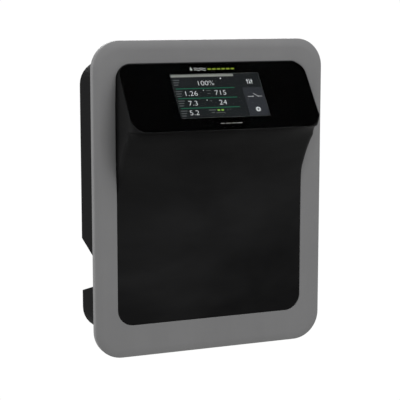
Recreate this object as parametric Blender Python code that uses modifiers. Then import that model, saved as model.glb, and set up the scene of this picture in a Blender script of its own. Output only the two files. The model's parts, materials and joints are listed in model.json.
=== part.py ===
"""The wall-mounted control unit of a salt chlorine generator, in metres.

Frame: +Z up, the wall is the plane Y = 0, the front faces -Y and the cover is centred on X = 0, Z = 0.
The front is one door: a grey surround, a black panel with a desk-like display pod, and the display in it.
It turns on two hinges at the right-hand side. Everything else is fixed to the rear housing.
"""

from math import atan2, cos, hypot, pi, radians, sin, sqrt

import bmesh
import bpy
from mathutils import Matrix, Vector

MM = 0.001

# Driving dimensions of the cover
COVER_WIDTH = 293 * MM
COVER_HEIGHT = 373 * MM
COVER_RADIUS = 33.5 * MM
COVER_FRONT = -81 * MM  # the plane of the grey face
COVER_BACK = -71 * MM  # the back edge of the cover's flange
COVER_ROUND = 7 * MM
WALL = 3 * MM
GAP = 0.3 * MM  # between pieces that touch

# Black panel and its pod; depths are measured forward from the grey face
PANEL_WIDTH = 237 * MM
PANEL_TOP = 159.5 * MM
PANEL_BOTTOM = -147.3 * MM
PANEL_RADIUS = 19 * MM  # of its lower corners
PANEL_TOP_RADIUS = 17 * MM
PANEL_RECESS = 0.4 * MM
PANEL_BACK = -77.4 * MM
PANEL_WALL = 2.8 * MM
POD_TILT = radians(37)
LENS_WIDTH = 236.4 * MM
LENS_HEIGHT = 91.5 * MM
LENS_RADIUS = 20 * MM  # of its lower corners
LENS_TOP_RADIUS = 16 * MM
POD_SHOULDER = 7 * MM  # rounding between the pod's underside and its flanks
LENS_THICKNESS = 2 * MM
LENS_TOP = Vector((0, COVER_FRONT - 3 * MM, 160.5 * MM))  # middle of the lens's upper front edge
SWEEP = ((56.6, 85.6), (36, 84), (6, 36), (0, 6))  # underside curve: depth and height, mm

# Display behind the lens
DISPLAY_SHIFT = -2 * MM
DISPLAY_SIZE = (120 * MM, 76 * MM, 3.6 * MM)
DISPLAY_CENTRE = 47.5 * MM  # down the lens from its upper edge
BOARD_SIZE = (150 * MM, 70 * MM, 1.6 * MM)
BOARD_CENTRE = 42 * MM
BOARD_DEPTH = 12 * MM
HEADER_DOWN = 50 * MM  # the ribbon's header on the display board
HEADER_ACROSS = 58 * MM
HEADER_TALL = 7 * MM
HEADER_ON_BOARD = (118, 112, 8, 34, 9)  # left, lower edge, width, height and depth on the main board, mm
RIBBON_WIDTH = 26 * MM
RIBBON_THICKNESS = 1 * MM

# Rear housing
HOUSING_WIDTH = 274 * MM
HOUSING_TOP = 160.5 * MM
HOUSING_BOTTOM = -167.5 * MM
HOUSING_RADIUS = 28 * MM
HOUSING_RIM = -76 * MM
SHALLOW_BACK = -43 * MM
CHANNEL = ((0, -53.5), (-43, -68.5), (-43, -105.5), (0, -118.5))  # depth and height, mm
FITTING_Y = -24.5 * MM  # the row of fittings on the channel's upper wall
FOOT_WIDTH = 46 * MM
BOSS_END = -11 * MM  # where the main board's standoffs begin
RECESS_WIDTH = 194 * MM  # for the wall bracket
RECESS_DEPTH = 8 * MM
RECESS_LOW = 90 * MM
RECESS_HIGH = 143 * MM
HOOK_X = (-60 * MM, 60 * MM)

# Door hinge and locks
HINGE_AXIS = Vector((142 * MM, -66 * MM, 0))
HINGE_HEIGHTS = {"upper": 100 * MM, "lower": -112 * MM}
KNUCKLE_RADIUS = 3.5 * MM
PIN_RADIUS = 1.5 * MM
LOCK_X = {"left": -100 * MM, "right": 60 * MM}
LOCK_Y = -74.2 * MM
LOCK_RADIUS = 1.8 * MM

# Wall fittings in the sloping upper wall of the channel and in the bottom wall
GLAND_X = (-72 * MM, -38 * MM, -4 * MM)
SOCKET_X = (30 * MM, 54 * MM)
EARTH_X = 78 * MM
SWITCH_X = 92 * MM
FUSE_X = 40 * MM
BOTTOM_FITTING_Y = -60 * MM

# Electronics
SUPPLY_LOW = Vector((-126, -44, -8)) * MM
SUPPLY_HIGH = Vector((-30, -14, 150)) * MM
MAIN_LOW = Vector((-18, -19.6, -20)) * MM
MAIN_HIGH = Vector((124, -18, 150)) * MM
STANDOFF_INSET = 5 * MM
STANDOFF_ROWS = 92 * MM  # apart, so that the upper pair is clear of the heat sink

# Shells with cuts so close together that the exact Boolean solver leaves open edges
CLOSE_CUTS = ("front_frame", "front_panel", "rear_housing")

COLOURS = {
    "grey_shell": ((0.18, 0.18, 0.185), 0.45, 0.0),
    "black_shell": ((0.012, 0.012, 0.013), 0.4, 0.0),
    "lens": ((0.002, 0.002, 0.002), 0.05, 0.0),
    "display": ((0.03, 0.035, 0.04), 0.2, 0.0),
    "circuit_board": ((0.01, 0.09, 0.04), 0.45, 0.0),
    "black_plastic": ((0.02, 0.02, 0.022), 0.5, 0.0),
    "green_plastic": ((0.02, 0.22, 0.08), 0.45, 0.0),
    "blue_plastic": ((0.02, 0.08, 0.3), 0.4, 0.0),
    "red_plastic": ((0.5, 0.02, 0.01), 0.35, 0.0),
    "rubber": ((0.015, 0.015, 0.015), 0.8, 0.0),
    "steel": ((0.55, 0.55, 0.56), 0.35, 1.0),
    "aluminium": ((0.6, 0.6, 0.61), 0.4, 1.0),
    "brass": ((0.7, 0.5, 0.2), 0.35, 1.0),
    "ribbon": ((0.5, 0.5, 0.52), 0.5, 0.0),
    "copper": ((0.6, 0.22, 0.08), 0.4, 1.0),
}

TURNS = {
    "X": Matrix(((0, 0, 1), (1, 0, 0), (0, 1, 0))),
    "Y": Matrix(((1, 0, 0), (0, 0, -1), (0, 1, 0))),
    "Z": Matrix.Identity(3),
}
AXES = {"X": Vector((1, 0, 0)), "Y": Vector((0, 1, 0)), "Z": Vector((0, 0, 1))}


# ---------------------------------------------------------------- scene and objects


def clear_scene():
    for obj in list(bpy.data.objects):
        bpy.data.objects.remove(obj, do_unlink=True)


def new_collection(name):
    collection = bpy.data.collections.new(name)
    bpy.context.scene.collection.children.link(collection)
    return collection


def make_materials():
    made = {}
    for name, (colour, roughness, metallic) in COLOURS.items():
        material = bpy.data.materials.new(name)
        material.use_nodes = True
        shader = material.node_tree.nodes["Principled BSDF"]
        shader.inputs["Base Color"].default_value = (*colour, 1)
        shader.inputs["Roughness"].default_value = roughness
        shader.inputs["Metallic"].default_value = metallic
        made[name] = material
    return made


clear_scene()
PARTS = new_collection("salt_chlorinator")
CUTTERS = new_collection("cutters")
MATERIALS = make_materials()


def add(name, mesh):
    """A guide object: it stays hidden until part() makes it a piece."""
    obj = bpy.data.objects.new(name, mesh)
    CUTTERS.objects.link(obj)
    obj.hide_render = True
    obj.display_type = "WIRE"
    return obj


def part(obj, name, material, origin=None):
    """Makes an object one of the model's pieces, with its own material and origin."""
    obj.name = name
    own = MATERIALS[material].copy()
    own.name = name
    obj.data.materials.clear()
    obj.data.materials.append(own)
    obj.hide_render = False
    obj.display_type = "TEXTURED"
    CUTTERS.objects.unlink(obj)
    PARTS.objects.link(obj)
    obj.data.shade_smooth()
    obj.data.set_sharp_from_angle(angle=radians(35))
    if origin is not None:
        obj.data.transform(Matrix.Translation(-Vector(origin)))
        obj.location = origin
    return obj


def combine(target, other, operation="DIFFERENCE"):
    modifier = target.modifiers.new(other.name, "BOOLEAN")
    modifier.operation = operation
    modifier.object = other
    modifier.solver = "MANIFOLD" if target.name in CLOSE_CUTS else "EXACT"
    return target


def cut(target, *others):
    for other in others:
        combine(target, other)
    return target


def join(target, *others):
    for other in others:
        combine(target, other, "UNION")
    return target


def soften(obj, width, segments=2, angle=40):
    bevel = obj.modifiers.new("rounded edges", "BEVEL")
    bevel.width = width
    bevel.segments = segments
    bevel.limit_method = "ANGLE"
    bevel.angle_limit = radians(angle)
    return obj


# ---------------------------------------------------------------- shapes


def mesh_from(builder):
    bm = bmesh.new()
    builder(bm)
    bmesh.ops.recalc_face_normals(bm, faces=bm.faces)
    mesh = bpy.data.meshes.new("mesh")
    bm.to_mesh(mesh)
    bm.free()
    return mesh


def box(name, low, high):
    low, high = Vector(low), Vector(high)
    place = Matrix.Translation((low + high) / 2) @ Matrix.Diagonal((*(high - low), 1))
    return add(name, mesh_from(lambda bm: bmesh.ops.create_cube(bm, size=1, matrix=place)))


def cylinder(name, start, end, radius, segments=20, end_radius=None):
    start, end = Vector(start), Vector(end)
    along = end - start
    place = Matrix.Translation((start + end) / 2) @ along.to_track_quat("Z", "Y").to_matrix().to_4x4()

    def build(bm):
        bmesh.ops.create_cone(
            bm,
            cap_ends=True,
            segments=segments,
            radius1=radius,
            radius2=radius if end_radius is None else end_radius,
            depth=along.length,
            matrix=place,
        )

    return add(name, mesh_from(build))


def prism(name, outlines, low, high, axis="Y"):
    """A flat outline, with any holes after it, extruded from low to high along an axis."""
    curve = bpy.data.curves.new(name, "CURVE")
    curve.dimensions = "2D"
    curve.fill_mode = "BOTH"
    curve.extrude = (high - low) / 2
    for outline in outlines:
        spline = curve.splines.new("POLY")
        spline.points.add(len(outline) - 1)
        for point, (u, v) in zip(spline.points, outline):
            point.co = (u, v, 0, 1)
        spline.use_cyclic_u = True
    place = Matrix.Translation(AXES[axis] * (low + high) / 2) @ TURNS[axis].to_4x4()
    return solid_from_curve(name, curve, place)


def solid_from_curve(name, curve, place=Matrix.Identity(4)):
    guide = bpy.data.objects.new(name, curve)
    CUTTERS.objects.link(guide)
    depsgraph = bpy.context.evaluated_depsgraph_get()
    mesh = bpy.data.meshes.new_from_object(guide.evaluated_get(depsgraph))
    bpy.data.objects.remove(guide, do_unlink=True)
    bm = bmesh.new()
    bm.from_mesh(mesh)
    bmesh.ops.remove_doubles(bm, verts=bm.verts, dist=0.01 * MM)
    bmesh.ops.recalc_face_normals(bm, faces=bm.faces)
    bm.to_mesh(mesh)
    bm.free()
    mesh.transform(place)
    return add(name, mesh)


def turned(name, profile, base, axis=(0, 0, 1), steps=18):
    """A turned shape: (radius, height) pairs from the top of its axis to the bottom."""
    mesh = bpy.data.meshes.new(name)
    mesh.from_pydata([(r, 0, h) for r, h in profile], [(i, i + 1) for i in range(len(profile) - 1)], [])
    obj = add(name, mesh)
    screw = obj.modifiers.new("turned", "SCREW")
    screw.steps = steps
    screw.render_steps = steps
    screw.use_merge_vertices = True
    screw.merge_threshold = 0.01 * MM
    obj.rotation_mode = "QUATERNION"
    obj.rotation_quaternion = Vector(axis).to_track_quat("Z", "Y")
    obj.location = base
    return obj


def rounded_rectangle(low_u, high_u, low_v, high_v, radius, steps=8, top_radius=None):
    """Points of a rounded rectangle, counter-clockwise. Its upper corners can have their own radius."""
    points = []
    corners = ((high_u, high_v, 0), (low_u, high_v, 1), (low_u, low_v, 2), (high_u, low_v, 3))
    for u, v, quarter in corners:
        r = top_radius if v == high_v and top_radius else radius
        centre_u = u - r if u == high_u else u + r
        centre_v = v - r if v == high_v else v + r
        for i in range(steps + 1):
            angle = pi / 2 * (quarter + i / steps)
            points.append((centre_u + r * cos(angle), centre_v + r * sin(angle)))
    return points


def centred_rectangle(width, height, radius, steps=8, centre=(0, 0)):
    u, v = centre
    return rounded_rectangle(u - width / 2, u + width / 2, v - height / 2, v + height / 2, radius, steps)


def arc_inset(radius, along):
    """How far a rounded corner has come in, at a distance along from where it starts."""
    along = min(max(along, 0), radius)
    return radius - sqrt(max(radius**2 - along**2, 0))


# ---------------------------------------------------------------- front door


def cover_outline(inset=0.0):
    return centred_rectangle(COVER_WIDTH - 2 * inset, COVER_HEIGHT - 2 * inset, COVER_RADIUS - inset)


def panel_outline(grow=0.0, top=PANEL_TOP):
    half = PANEL_WIDTH / 2 + grow
    top_radius = max(PANEL_TOP_RADIUS + grow, 1 * MM)
    return rounded_rectangle(
        -half, half, PANEL_BOTTOM - grow, top + grow, PANEL_RADIUS + grow, top_radius=top_radius
    )


def pod_scoop(side):
    """The shallow dish that brings the grey face down to the pod's side."""
    inner, outer = side * (PANEL_WIDTH / 2 - 4 * MM), side * (COVER_WIDTH / 2 - 5 * MM)
    deep, above = COVER_FRONT + 3.2 * MM, COVER_FRONT - 8 * MM
    ends_inner, ends_outer = (154 * MM, 8 * MM), (113 * MM, 48 * MM)
    rim = [(inner, ends_inner[0]), (outer, ends_outer[0]), (outer, ends_outer[1]), (inner, ends_inner[1])]
    points = [(x, y, z) for x, z in rim for y in (COVER_FRONT, above)]
    points += [(inner, deep, z) for z in ends_outer]

    def build(bm):
        made = [bm.verts.new(p) for p in points]
        hull = bmesh.ops.convex_hull(bm, input=made)
        bmesh.ops.delete(bm, geom=hull["geom_interior"], context="VERTS")

    return add("pod_scoop", mesh_from(build))


def screw_places():
    """Where the black panel is screwed to the surround, seen from the front."""
    half = PANEL_WIDTH / 2 + 3.6 * MM
    return [(side * half, z) for z in (0, -110 * MM) for side in (-1, 1)]


def front_frame():
    frame = prism("front_frame", [cover_outline()], COVER_FRONT, COVER_BACK + 20 * MM)
    soften(frame, COVER_ROUND, 4)
    hollow = prism("frame_hollow", [cover_outline(WALL)], COVER_FRONT + WALL, COVER_BACK + 40 * MM)
    soften(hollow, COVER_ROUND - WALL, 3)
    big = COVER_HEIGHT
    tail = box("frame_tail", (-big, COVER_BACK, -big), (big, COVER_BACK + 60 * MM, big))
    window = prism("frame_window", [panel_outline(GAP + 0.2 * MM)], COVER_FRONT - 9 * MM, COVER_BACK)
    cut(frame, tail, hollow, window, pod_scoop(-1), pod_scoop(1))
    for x, z in screw_places():
        cut(frame, cylinder("pilot", (x, COVER_FRONT + 1 * MM, z), (x, COVER_BACK, z), 1.7 * MM, 12))
    low = -COVER_HEIGHT / 2
    for x in LOCK_X.values():
        start, end = (x, LOCK_Y, low - 1 * MM), (x, LOCK_Y, low + 8 * MM)
        cut(frame, cylinder("lock_hole", start, end, LOCK_RADIUS + GAP))
    return part(frame, "front_surround", "grey_shell", HINGE_AXIS)


def bezier(points, steps):
    p0, p1, p2, p3 = (Vector(p) for p in points)
    for i in range(steps + 1):
        t = i / steps
        yield p0 * (1 - t) ** 3 + p1 * 3 * t * (1 - t) ** 2 + p2 * 3 * t**2 * (1 - t) + p3 * t**3


def pod_sections(wall):
    """(height, depth, half width, shoulder width, shoulder depth) rows down the panel, set in by a wall."""
    depth_back = (LENS_THICKNESS + GAP + wall) / cos(POD_TILT)
    lens_depth = COVER_FRONT - LENS_TOP.y
    top, least = PANEL_TOP - wall, 0.6 * MM
    tip_z = (SWEEP[0][1]) * MM + wall
    round_in_z = LENS_RADIUS * cos(POD_TILT)
    shift = [(-2.0, 1.0), (-0.5, 1.0), (-0.9, 0.5), (-1.0, 0.4)]
    curve = [(d * MM + wall * a, z * MM + wall * b) for (d, z), (a, b) in zip(SWEEP, shift)]
    rows = []
    top_corner = max(PANEL_TOP_RADIUS - wall, 0.4 * MM)
    heights = [top - top_corner * (1 - cos(pi / 2 * i / 6)) for i in range(7)]
    heights += [tip_z + round_in_z * (1 - sin(pi / 2 * i / 6)) for i in range(7)]
    for z in heights:
        depth = lens_depth + (LENS_TOP.z - z) * sin(POD_TILT) / cos(POD_TILT) - depth_back
        in_corner = arc_inset(LENS_RADIUS, (tip_z + round_in_z - z) / cos(POD_TILT))
        rows.append((z, depth, max(in_corner, least), LENS_RADIUS if in_corner > least else least))
    for depth, z in bezier(curve, 12):
        near_lens = max(1 - (tip_z - z) / (12 * MM), 0)
        rounded = POD_SHOULDER + (LENS_RADIUS - POD_SHOULDER) * near_lens
        shoulder = max(min(rounded, 0.9 * depth), least)
        if z < rows[-1][0] - 0.2 * MM:
            rows.append((z, depth, shoulder, shoulder))
    if not wall:
        rows += [
            (PANEL_BOTTOM + PANEL_RADIUS * (1 - sin(pi / 2 * i / 6)), -PANEL_RECESS, least, least)
            for i in range(7)
        ]
    sections = []
    for z, depth, shoulder, fall in rows:
        corner = PANEL_RADIUS - wall
        narrow = arc_inset(top_corner, z - (top - top_corner)) + arc_inset(corner, PANEL_BOTTOM + corner - z)
        depth = max(depth, -PANEL_RECESS - wall)
        sections.append((z, depth, PANEL_WIDTH / 2 - wall - narrow, shoulder, fall))
    return sections


def pod_loft(name, wall, back):
    """Rings across the panel at each height, joined into one closed body with a flat back."""
    steps = 5

    def build(bm):
        rings = []
        for z, depth, half, shoulder, fall in pod_sections(wall):
            fall = min(fall, 0.6 * (back - COVER_FRONT + depth))
            right = [(half, back)]
            for i in range(steps + 1):
                angle = pi / 2 * i / steps
                x = half - shoulder * (1 - cos(angle))
                right.append((x, COVER_FRONT - depth + fall * (1 - sin(angle))))
            ring = right + [(-x, y) for x, y in reversed(right)]
            rings.append([bm.verts.new((x, y, z)) for x, y in ring])
        for upper, lower in zip(rings, rings[1:]):
            count = len(upper)
            for i in range(count):
                j = (i + 1) % count
                bm.faces.new((upper[i], upper[j], lower[j], lower[i]))
        bm.faces.new(rings[0])
        bm.faces.new(rings[-1])

    return add(name, mesh_from(build))


def tilted(width, height, depth_low, depth_high, down, across=0.0, name="tilted", outline=None):
    """A plate parallel to the lens. Its middle is this far down the lens, and its depths go back from the
    lens's front."""
    outline = outline or centred_rectangle(width, height, 1 * MM, 2)
    plate = prism(name, [outline], 0, depth_high - depth_low, "Z")
    plate.data.transform(lens_place(across, down, depth_high))
    return plate


def lens_place(across, down, back):
    """Local x to the right, y up the lens and z out of its front."""
    turn = Matrix.Rotation(pi / 2 - POD_TILT, 4, "X")
    up, out = turn @ Vector((0, 1, 0)), turn @ Vector((0, 0, 1))
    place = LENS_TOP - up * down - out * back + Vector((across, 0, 0))
    return Matrix.Translation(place) @ turn


def board_corners():
    half_w, half_h = BOARD_SIZE[0] / 2 - 5 * MM, BOARD_SIZE[1] / 2 - 4 * MM
    return [(DISPLAY_SHIFT + a * half_w, BOARD_CENTRE + b * half_h) for a in (-1, 1) for b in (-1, 1)]


def lens_cylinder(name, across, down, front, back, radius, segments=16):
    place = lens_place(across, down, 0)
    return cylinder(name, place @ Vector((0, 0, -front)), place @ Vector((0, 0, -back)), radius, segments)


def front_panel():
    panel = pod_loft("front_panel", 0, PANEL_BACK)
    hollow = pod_loft("pod_hollow", PANEL_WALL, PANEL_BACK + 10 * MM)
    width, height, _ = DISPLAY_SIZE
    window = tilted(
        width + 1 * MM, height + 1 * MM, 0, 6.5 * MM, DISPLAY_CENTRE, DISPLAY_SHIFT, name="display_window"
    )
    front, back = COVER_FRONT + WALL + GAP, COVER_FRONT + WALL + GAP + 2.4 * MM
    flange = prism("panel_flange", [panel_outline(7 * MM, 130 * MM)], front, back)
    cut(flange, prism("flange_hole", [panel_outline(-6 * MM, 200 * MM)], front - WALL, back + WALL))
    seat_low, seat_high = Vector((-200, -78, 150)) * MM, Vector((200, -60, 200)) * MM
    cut(panel, hollow, box("gasket_seat", seat_low, seat_high))
    join(panel, flange)
    for across, down in board_corners():
        post = lens_cylinder("board_post", across, down, 4 * MM, BOARD_DEPTH - GAP, 3.2 * MM)
        join(panel, post)
    cut(panel, window)
    for across, down in board_corners():
        cut(panel, lens_cylinder("post_hole", across, down, 6 * MM, 30 * MM, 1.5 * MM, 12))
    for x, z in screw_places():
        hole = cylinder("screw_hole", (x, COVER_FRONT, z), (x, COVER_BACK, z), 2 * MM, 12)
        cut(panel, hole)
    return part(panel, "front_panel", "black_shell", HINGE_AXIS)


def display_pieces():
    half_w, half_h = LENS_WIDTH / 2, LENS_HEIGHT / 2
    outline = rounded_rectangle(-half_w, half_w, -half_h, half_h, LENS_RADIUS, top_radius=LENS_TOP_RADIUS)
    lens = tilted(LENS_WIDTH, LENS_HEIGHT, 0, LENS_THICKNESS, half_h, outline=outline)
    part(soften(lens, 0.5 * MM, 1), "display_lens", "lens", HINGE_AXIS)
    width, height, thick = DISPLAY_SIZE
    front = LENS_THICKNESS + GAP
    module = tilted(width, height, front, front + thick, DISPLAY_CENTRE, DISPLAY_SHIFT)
    part(soften(module, 0.4 * MM, 1), "display_module", "display", HINGE_AXIS)
    width, height, thick = BOARD_SIZE
    board = tilted(width, height, BOARD_DEPTH, BOARD_DEPTH + thick, BOARD_CENTRE, DISPLAY_SHIFT)
    for across, down in board_corners():
        cut(board, lens_cylinder("board_hole", across, down, 0, 40 * MM, 1.7 * MM, 12))
    back = BOARD_DEPTH + thick
    header = tilted(8 * MM, 32 * MM, back - 0.5 * MM, back + HEADER_TALL, HEADER_DOWN, HEADER_ACROSS)
    part(join(board, header), "display_board", "circuit_board", HINGE_AXIS)


def panel_screws():
    rear = COVER_FRONT + WALL + 2 * GAP + 2.4 * MM
    for number, (x, z) in enumerate(screw_places(), 1):
        head = turned(
            "screw",
            [(0, 2 * MM), (1.6 * MM, 1.9 * MM), (2.6 * MM, 1.2 * MM), (3 * MM, 0), (0, 0)],
            (x, rear, z),
            (0, 1, 0),
            16,
        )
        shank = cylinder("shank", (x, COVER_FRONT + 1.4 * MM, z), (x, rear + 0.6 * MM, z), 1.4 * MM, 12)
        low, high = (x - 2 * MM, rear + 1.2 * MM, z - 0.3 * MM), (x + 2 * MM, rear + 3 * MM, z + 0.3 * MM)
        bar = box("slot", low, high)
        part(cut(join(shank, head), bar), f"panel_screw_{number}", "steel", HINGE_AXIS)


def door_gasket():
    outer = rounded_rectangle(
        -HOUSING_WIDTH / 2 - 1 * MM,
        HOUSING_WIDTH / 2 + 1 * MM,
        HOUSING_BOTTOM - 1 * MM,
        HOUSING_TOP + 1 * MM,
        HOUSING_RADIUS + 1 * MM,
    )
    inner = rounded_rectangle(
        -HOUSING_WIDTH / 2 + 5 * MM,
        HOUSING_WIDTH / 2 - 5 * MM,
        HOUSING_BOTTOM + 5 * MM,
        HOUSING_TOP - 5 * MM,
        HOUSING_RADIUS - 5 * MM,
    )
    ring = prism("gasket", [outer, inner], COVER_FRONT + WALL + GAP, HOUSING_RIM - GAP)
    part(ring, "door_gasket", "rubber", HINGE_AXIS)


def door_locks():
    """A slotted quarter-turn stud whose end is flush with the cover's bottom edge. Its shoulder rests on the
    edge from inside, and its collar comes up under the fork."""
    bottom = -COVER_HEIGHT / 2
    shoulder = 2.6 * MM
    collar = 3.2 * MM
    for side, x in LOCK_X.items():
        stud = turned(
            "stud",
            [
                (0, 14 * MM), (LOCK_RADIUS, 14 * MM), (LOCK_RADIUS, 9.7 * MM), (collar, 9.7 * MM),
                (collar, 8.2 * MM), (shoulder, 8.2 * MM), (shoulder, 4.5 * MM), (LOCK_RADIUS, 4.5 * MM),
                (LOCK_RADIUS, 0.4 * MM), (0, 0.4 * MM),
            ],
            (x, LOCK_Y, bottom),
            steps=20,
        )  # fmt: skip
        low, high = (x - 5 * MM, LOCK_Y - 0.4 * MM), (x + 5 * MM, LOCK_Y + 0.4 * MM)
        slot = box("lock_slot", (*low, bottom - 1 * MM), (*high, bottom + 1.4 * MM))
        part(cut(stud, slot), f"door_lock_{side}", "steel")


def hinges():
    x, y = HINGE_AXIS.x, HINGE_AXIS.y
    bore = PIN_RADIUS + GAP
    for place, z in HINGE_HEIGHTS.items():
        half_mid, half_all = 8 * MM, 20 * MM
        door_leaf = cylinder("door_knuckle", (x, y, z - half_mid), (x, y, z + half_mid), KNUCKLE_RADIUS)
        inner, outer, front = x - 1 * MM, x + 1.2 * MM, COVER_FRONT + WALL + 4 * MM
        web = box("web", (inner, front, z - half_mid), (outer, y, z + half_mid))
        plate = box("leaf", (inner, front, z - half_all), (outer, y - 5 * MM, z + half_all))
        join(door_leaf, web, plate)
        hole = cylinder("pin_bore", (x, y, z - 30 * MM), (x, y, z + 30 * MM), bore, 20)
        part(cut(door_leaf, hole), f"hinge_door_leaf_{place}", "steel", HINGE_AXIS)

        wall_x = HOUSING_WIDTH / 2 + GAP
        far_x = wall_x + 1.8 * MM
        leaf = box("housing_leaf", (wall_x, y + 8 * MM, z - half_all), (far_x, y + 22 * MM, z + half_all))
        for low, high in ((-half_all, -half_mid - GAP), (half_mid + GAP, half_all)):
            knuckle = cylinder("knuckle", (x, y, z + low), (x, y, z + high), KNUCKLE_RADIUS)
            arm = box("arm", (wall_x, y, z + low), (far_x, y + 9 * MM, z + high))
            join(leaf, knuckle, arm)
        hole = cylinder("pin_bore", (x, y, z - 30 * MM), (x, y, z + 30 * MM), bore, 20)
        cut(leaf, hole)
        part(leaf, f"hinge_housing_leaf_{place}", "steel")
        pin = turned(
            "pin",
            [
                (0, 22 * MM), (2.4 * MM, 22 * MM), (2.4 * MM, half_all + GAP), (PIN_RADIUS, half_all + GAP),
                (PIN_RADIUS, -half_all - 1.5 * MM), (0, -half_all - 1.5 * MM),
            ],
            (x, y, z),
            steps=20,
        )  # fmt: skip
        part(pin, f"hinge_pin_{place}", "steel")


# ---------------------------------------------------------------- rear housing


def housing_outline(inset=0.0):
    half, radius = HOUSING_WIDTH / 2 - inset, HOUSING_RADIUS - inset
    return rounded_rectangle(-half, half, HOUSING_BOTTOM + inset, HOUSING_TOP - inset, radius)


def channel_outline(grow):
    """The cable channel's section in Y and Z, grown by a wall's thickness on its three sides."""
    upper, lower = (CHANNEL[0], CHANNEL[1]), (CHANNEL[3], CHANNEL[2])
    ends = (5 * MM, CHANNEL[1][0] * MM - grow)
    edges = []
    for side, ((y0, z0), (y1, z1)) in ((1, upper), (-1, lower)):
        slope = (z1 - z0) / (y1 - y0)
        edges.append([(y, z0 * MM + slope * y + side * grow * hypot(1, slope)) for y in ends])
    return edges[0] + edges[1][::-1]


def wall_point(x, out=0.0):
    """A point on the channel's sloping upper wall, or out of it along its normal."""
    (y0, z0), (y1, z1) = (Vector(p) * MM for p in CHANNEL[:2])
    slope = atan2(z0 - z1, y0 - y1)
    middle = Vector((x, FITTING_Y, z0 + (FITTING_Y - y0) * (z0 - z1) / (y0 - y1)))
    return middle + Vector((0, sin(slope), -cos(slope))) * out


def housing_ledges():
    """The two lips in the back recess that sit in the wall bracket's hooks."""
    return [
        box("lip", (x - 14 * MM, -4.7 * MM, 130.4 * MM), (x + 14 * MM, -2.4 * MM, RECESS_HIGH))
        for x in HOOK_X
    ]


def rear_housing():
    housing = prism("rear_housing", [housing_outline()], HOUSING_RIM - 20 * MM, 0)
    soften(housing, 3 * MM, 2)
    far = COVER_HEIGHT
    rim_tail = box("rim_tail", (-far, HOUSING_RIM - 60 * MM, -far), (far, HOUSING_RIM, far))
    inside = prism("inside", [housing_outline(WALL)], HOUSING_RIM - 40 * MM, -WALL)
    soften(inside, 2 * MM, 1)
    keep_out = prism("keep_out", [channel_outline(WALL)], -far, far, "X")
    lower = box("lower_keep_out", (-far, SHALLOW_BACK - WALL, -far), (far, 0.02, CHANNEL[2][1] * MM))
    half = RECESS_WIDTH / 2
    recess_wall = box(
        "recess_wall",
        (-half - WALL, -RECESS_DEPTH - WALL, RECESS_LOW - WALL),
        (half + WALL, 1 * MM, RECESS_HIGH + WALL),
    )
    cut(inside, keep_out, lower, recess_wall)
    channel = prism("channel", [channel_outline(0)], -far, far, "X")
    between = box(
        "between_feet",
        (-HOUSING_WIDTH / 2 + FOOT_WIDTH, SHALLOW_BACK, -far),
        (HOUSING_WIDTH / 2 - FOOT_WIDTH, 0.02, CHANNEL[2][1] * MM + 1 * MM),
    )
    recess = box("bracket_recess", (-half, -RECESS_DEPTH, RECESS_LOW), (half, 5 * MM, RECESS_HIGH))
    cut(housing, rim_tail, inside, channel, between, recess)
    join(housing, *housing_ledges())
    for side in (-1, 1):
        foot_pocket(housing, side)
    for x in GLAND_X:
        cut(housing, cylinder("gland_hole", wall_point(x, -12 * MM), wall_point(x, 8 * MM), 8.3 * MM))
    for x in SOCKET_X:
        cut(housing, cylinder("socket_hole", wall_point(x, -12 * MM), wall_point(x, 8 * MM), 5 * MM, 20))
    start, end = wall_point(EARTH_X, -12 * MM), wall_point(EARTH_X, 8 * MM)
    cut(housing, cylinder("earth_hole", start, end, 3.3 * MM, 16))
    low = HOUSING_BOTTOM
    switch = box(
        "switch_hole",
        (SWITCH_X - 13.5 * MM, BOTTOM_FITTING_Y - 6.6 * MM, low - 5 * MM),
        (SWITCH_X + 13.5 * MM, BOTTOM_FITTING_Y + 6.6 * MM, low + 8 * MM),
    )
    x, y = FUSE_X, BOTTOM_FITTING_Y
    fuse = cylinder("fuse_hole", (x, y, low - 5 * MM), (x, y, low + 8 * MM), 6.4 * MM)
    cut(housing, switch, fuse)
    join(housing, *lock_forks())
    for x, z in standoff_places():
        join(housing, cylinder("boss", (x, -WALL + 1 * MM, z), (x, BOSS_END, z), 4 * MM, 16))
    return part(housing, "rear_housing", "black_shell")


def foot_pocket(housing, side):
    """Cores the foot out from behind, and drills its wall-screw hole."""
    inner = side * (HOUSING_WIDTH / 2 - FOOT_WIDTH + WALL)
    outer = side * (HOUSING_WIDTH / 2 - WALL)
    top = CHANNEL[2][1] * MM - WALL - 13 * MM
    outline = rounded_rectangle(min(inner, outer), max(inner, outer), HOUSING_BOTTOM + WALL, top, 6 * MM, 3)
    corner = prism("foot_corner", [housing_outline(WALL)], SHALLOW_BACK + WALL, 5 * MM)
    pocket = prism("foot_pocket", [outline], SHALLOW_BACK + WALL, 5 * MM)
    combine(pocket, corner, "INTERSECT")
    cut(housing, pocket)


def lock_forks():
    """Forked lugs under the bottom wall that the lock studs slide into as the door shuts."""
    forks = []
    for x in LOCK_X.values():
        high, low = HOUSING_BOTTOM + 1 * MM, HOUSING_BOTTOM - 9 * MM
        lug = box("lug", (x - 9 * MM, HOUSING_RIM + 0.5 * MM, low), (x + 9 * MM, HOUSING_RIM + 14 * MM, high))
        reach = 3.4 * MM
        front, top = HOUSING_RIM - 5 * MM, HOUSING_BOTTOM - 0.5 * MM
        slot = box("lug_slot", (x - reach, front, low - 1 * MM), (x + reach, LOCK_Y + reach, top))
        forks.append(cut(lug, slot))
    return forks


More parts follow.
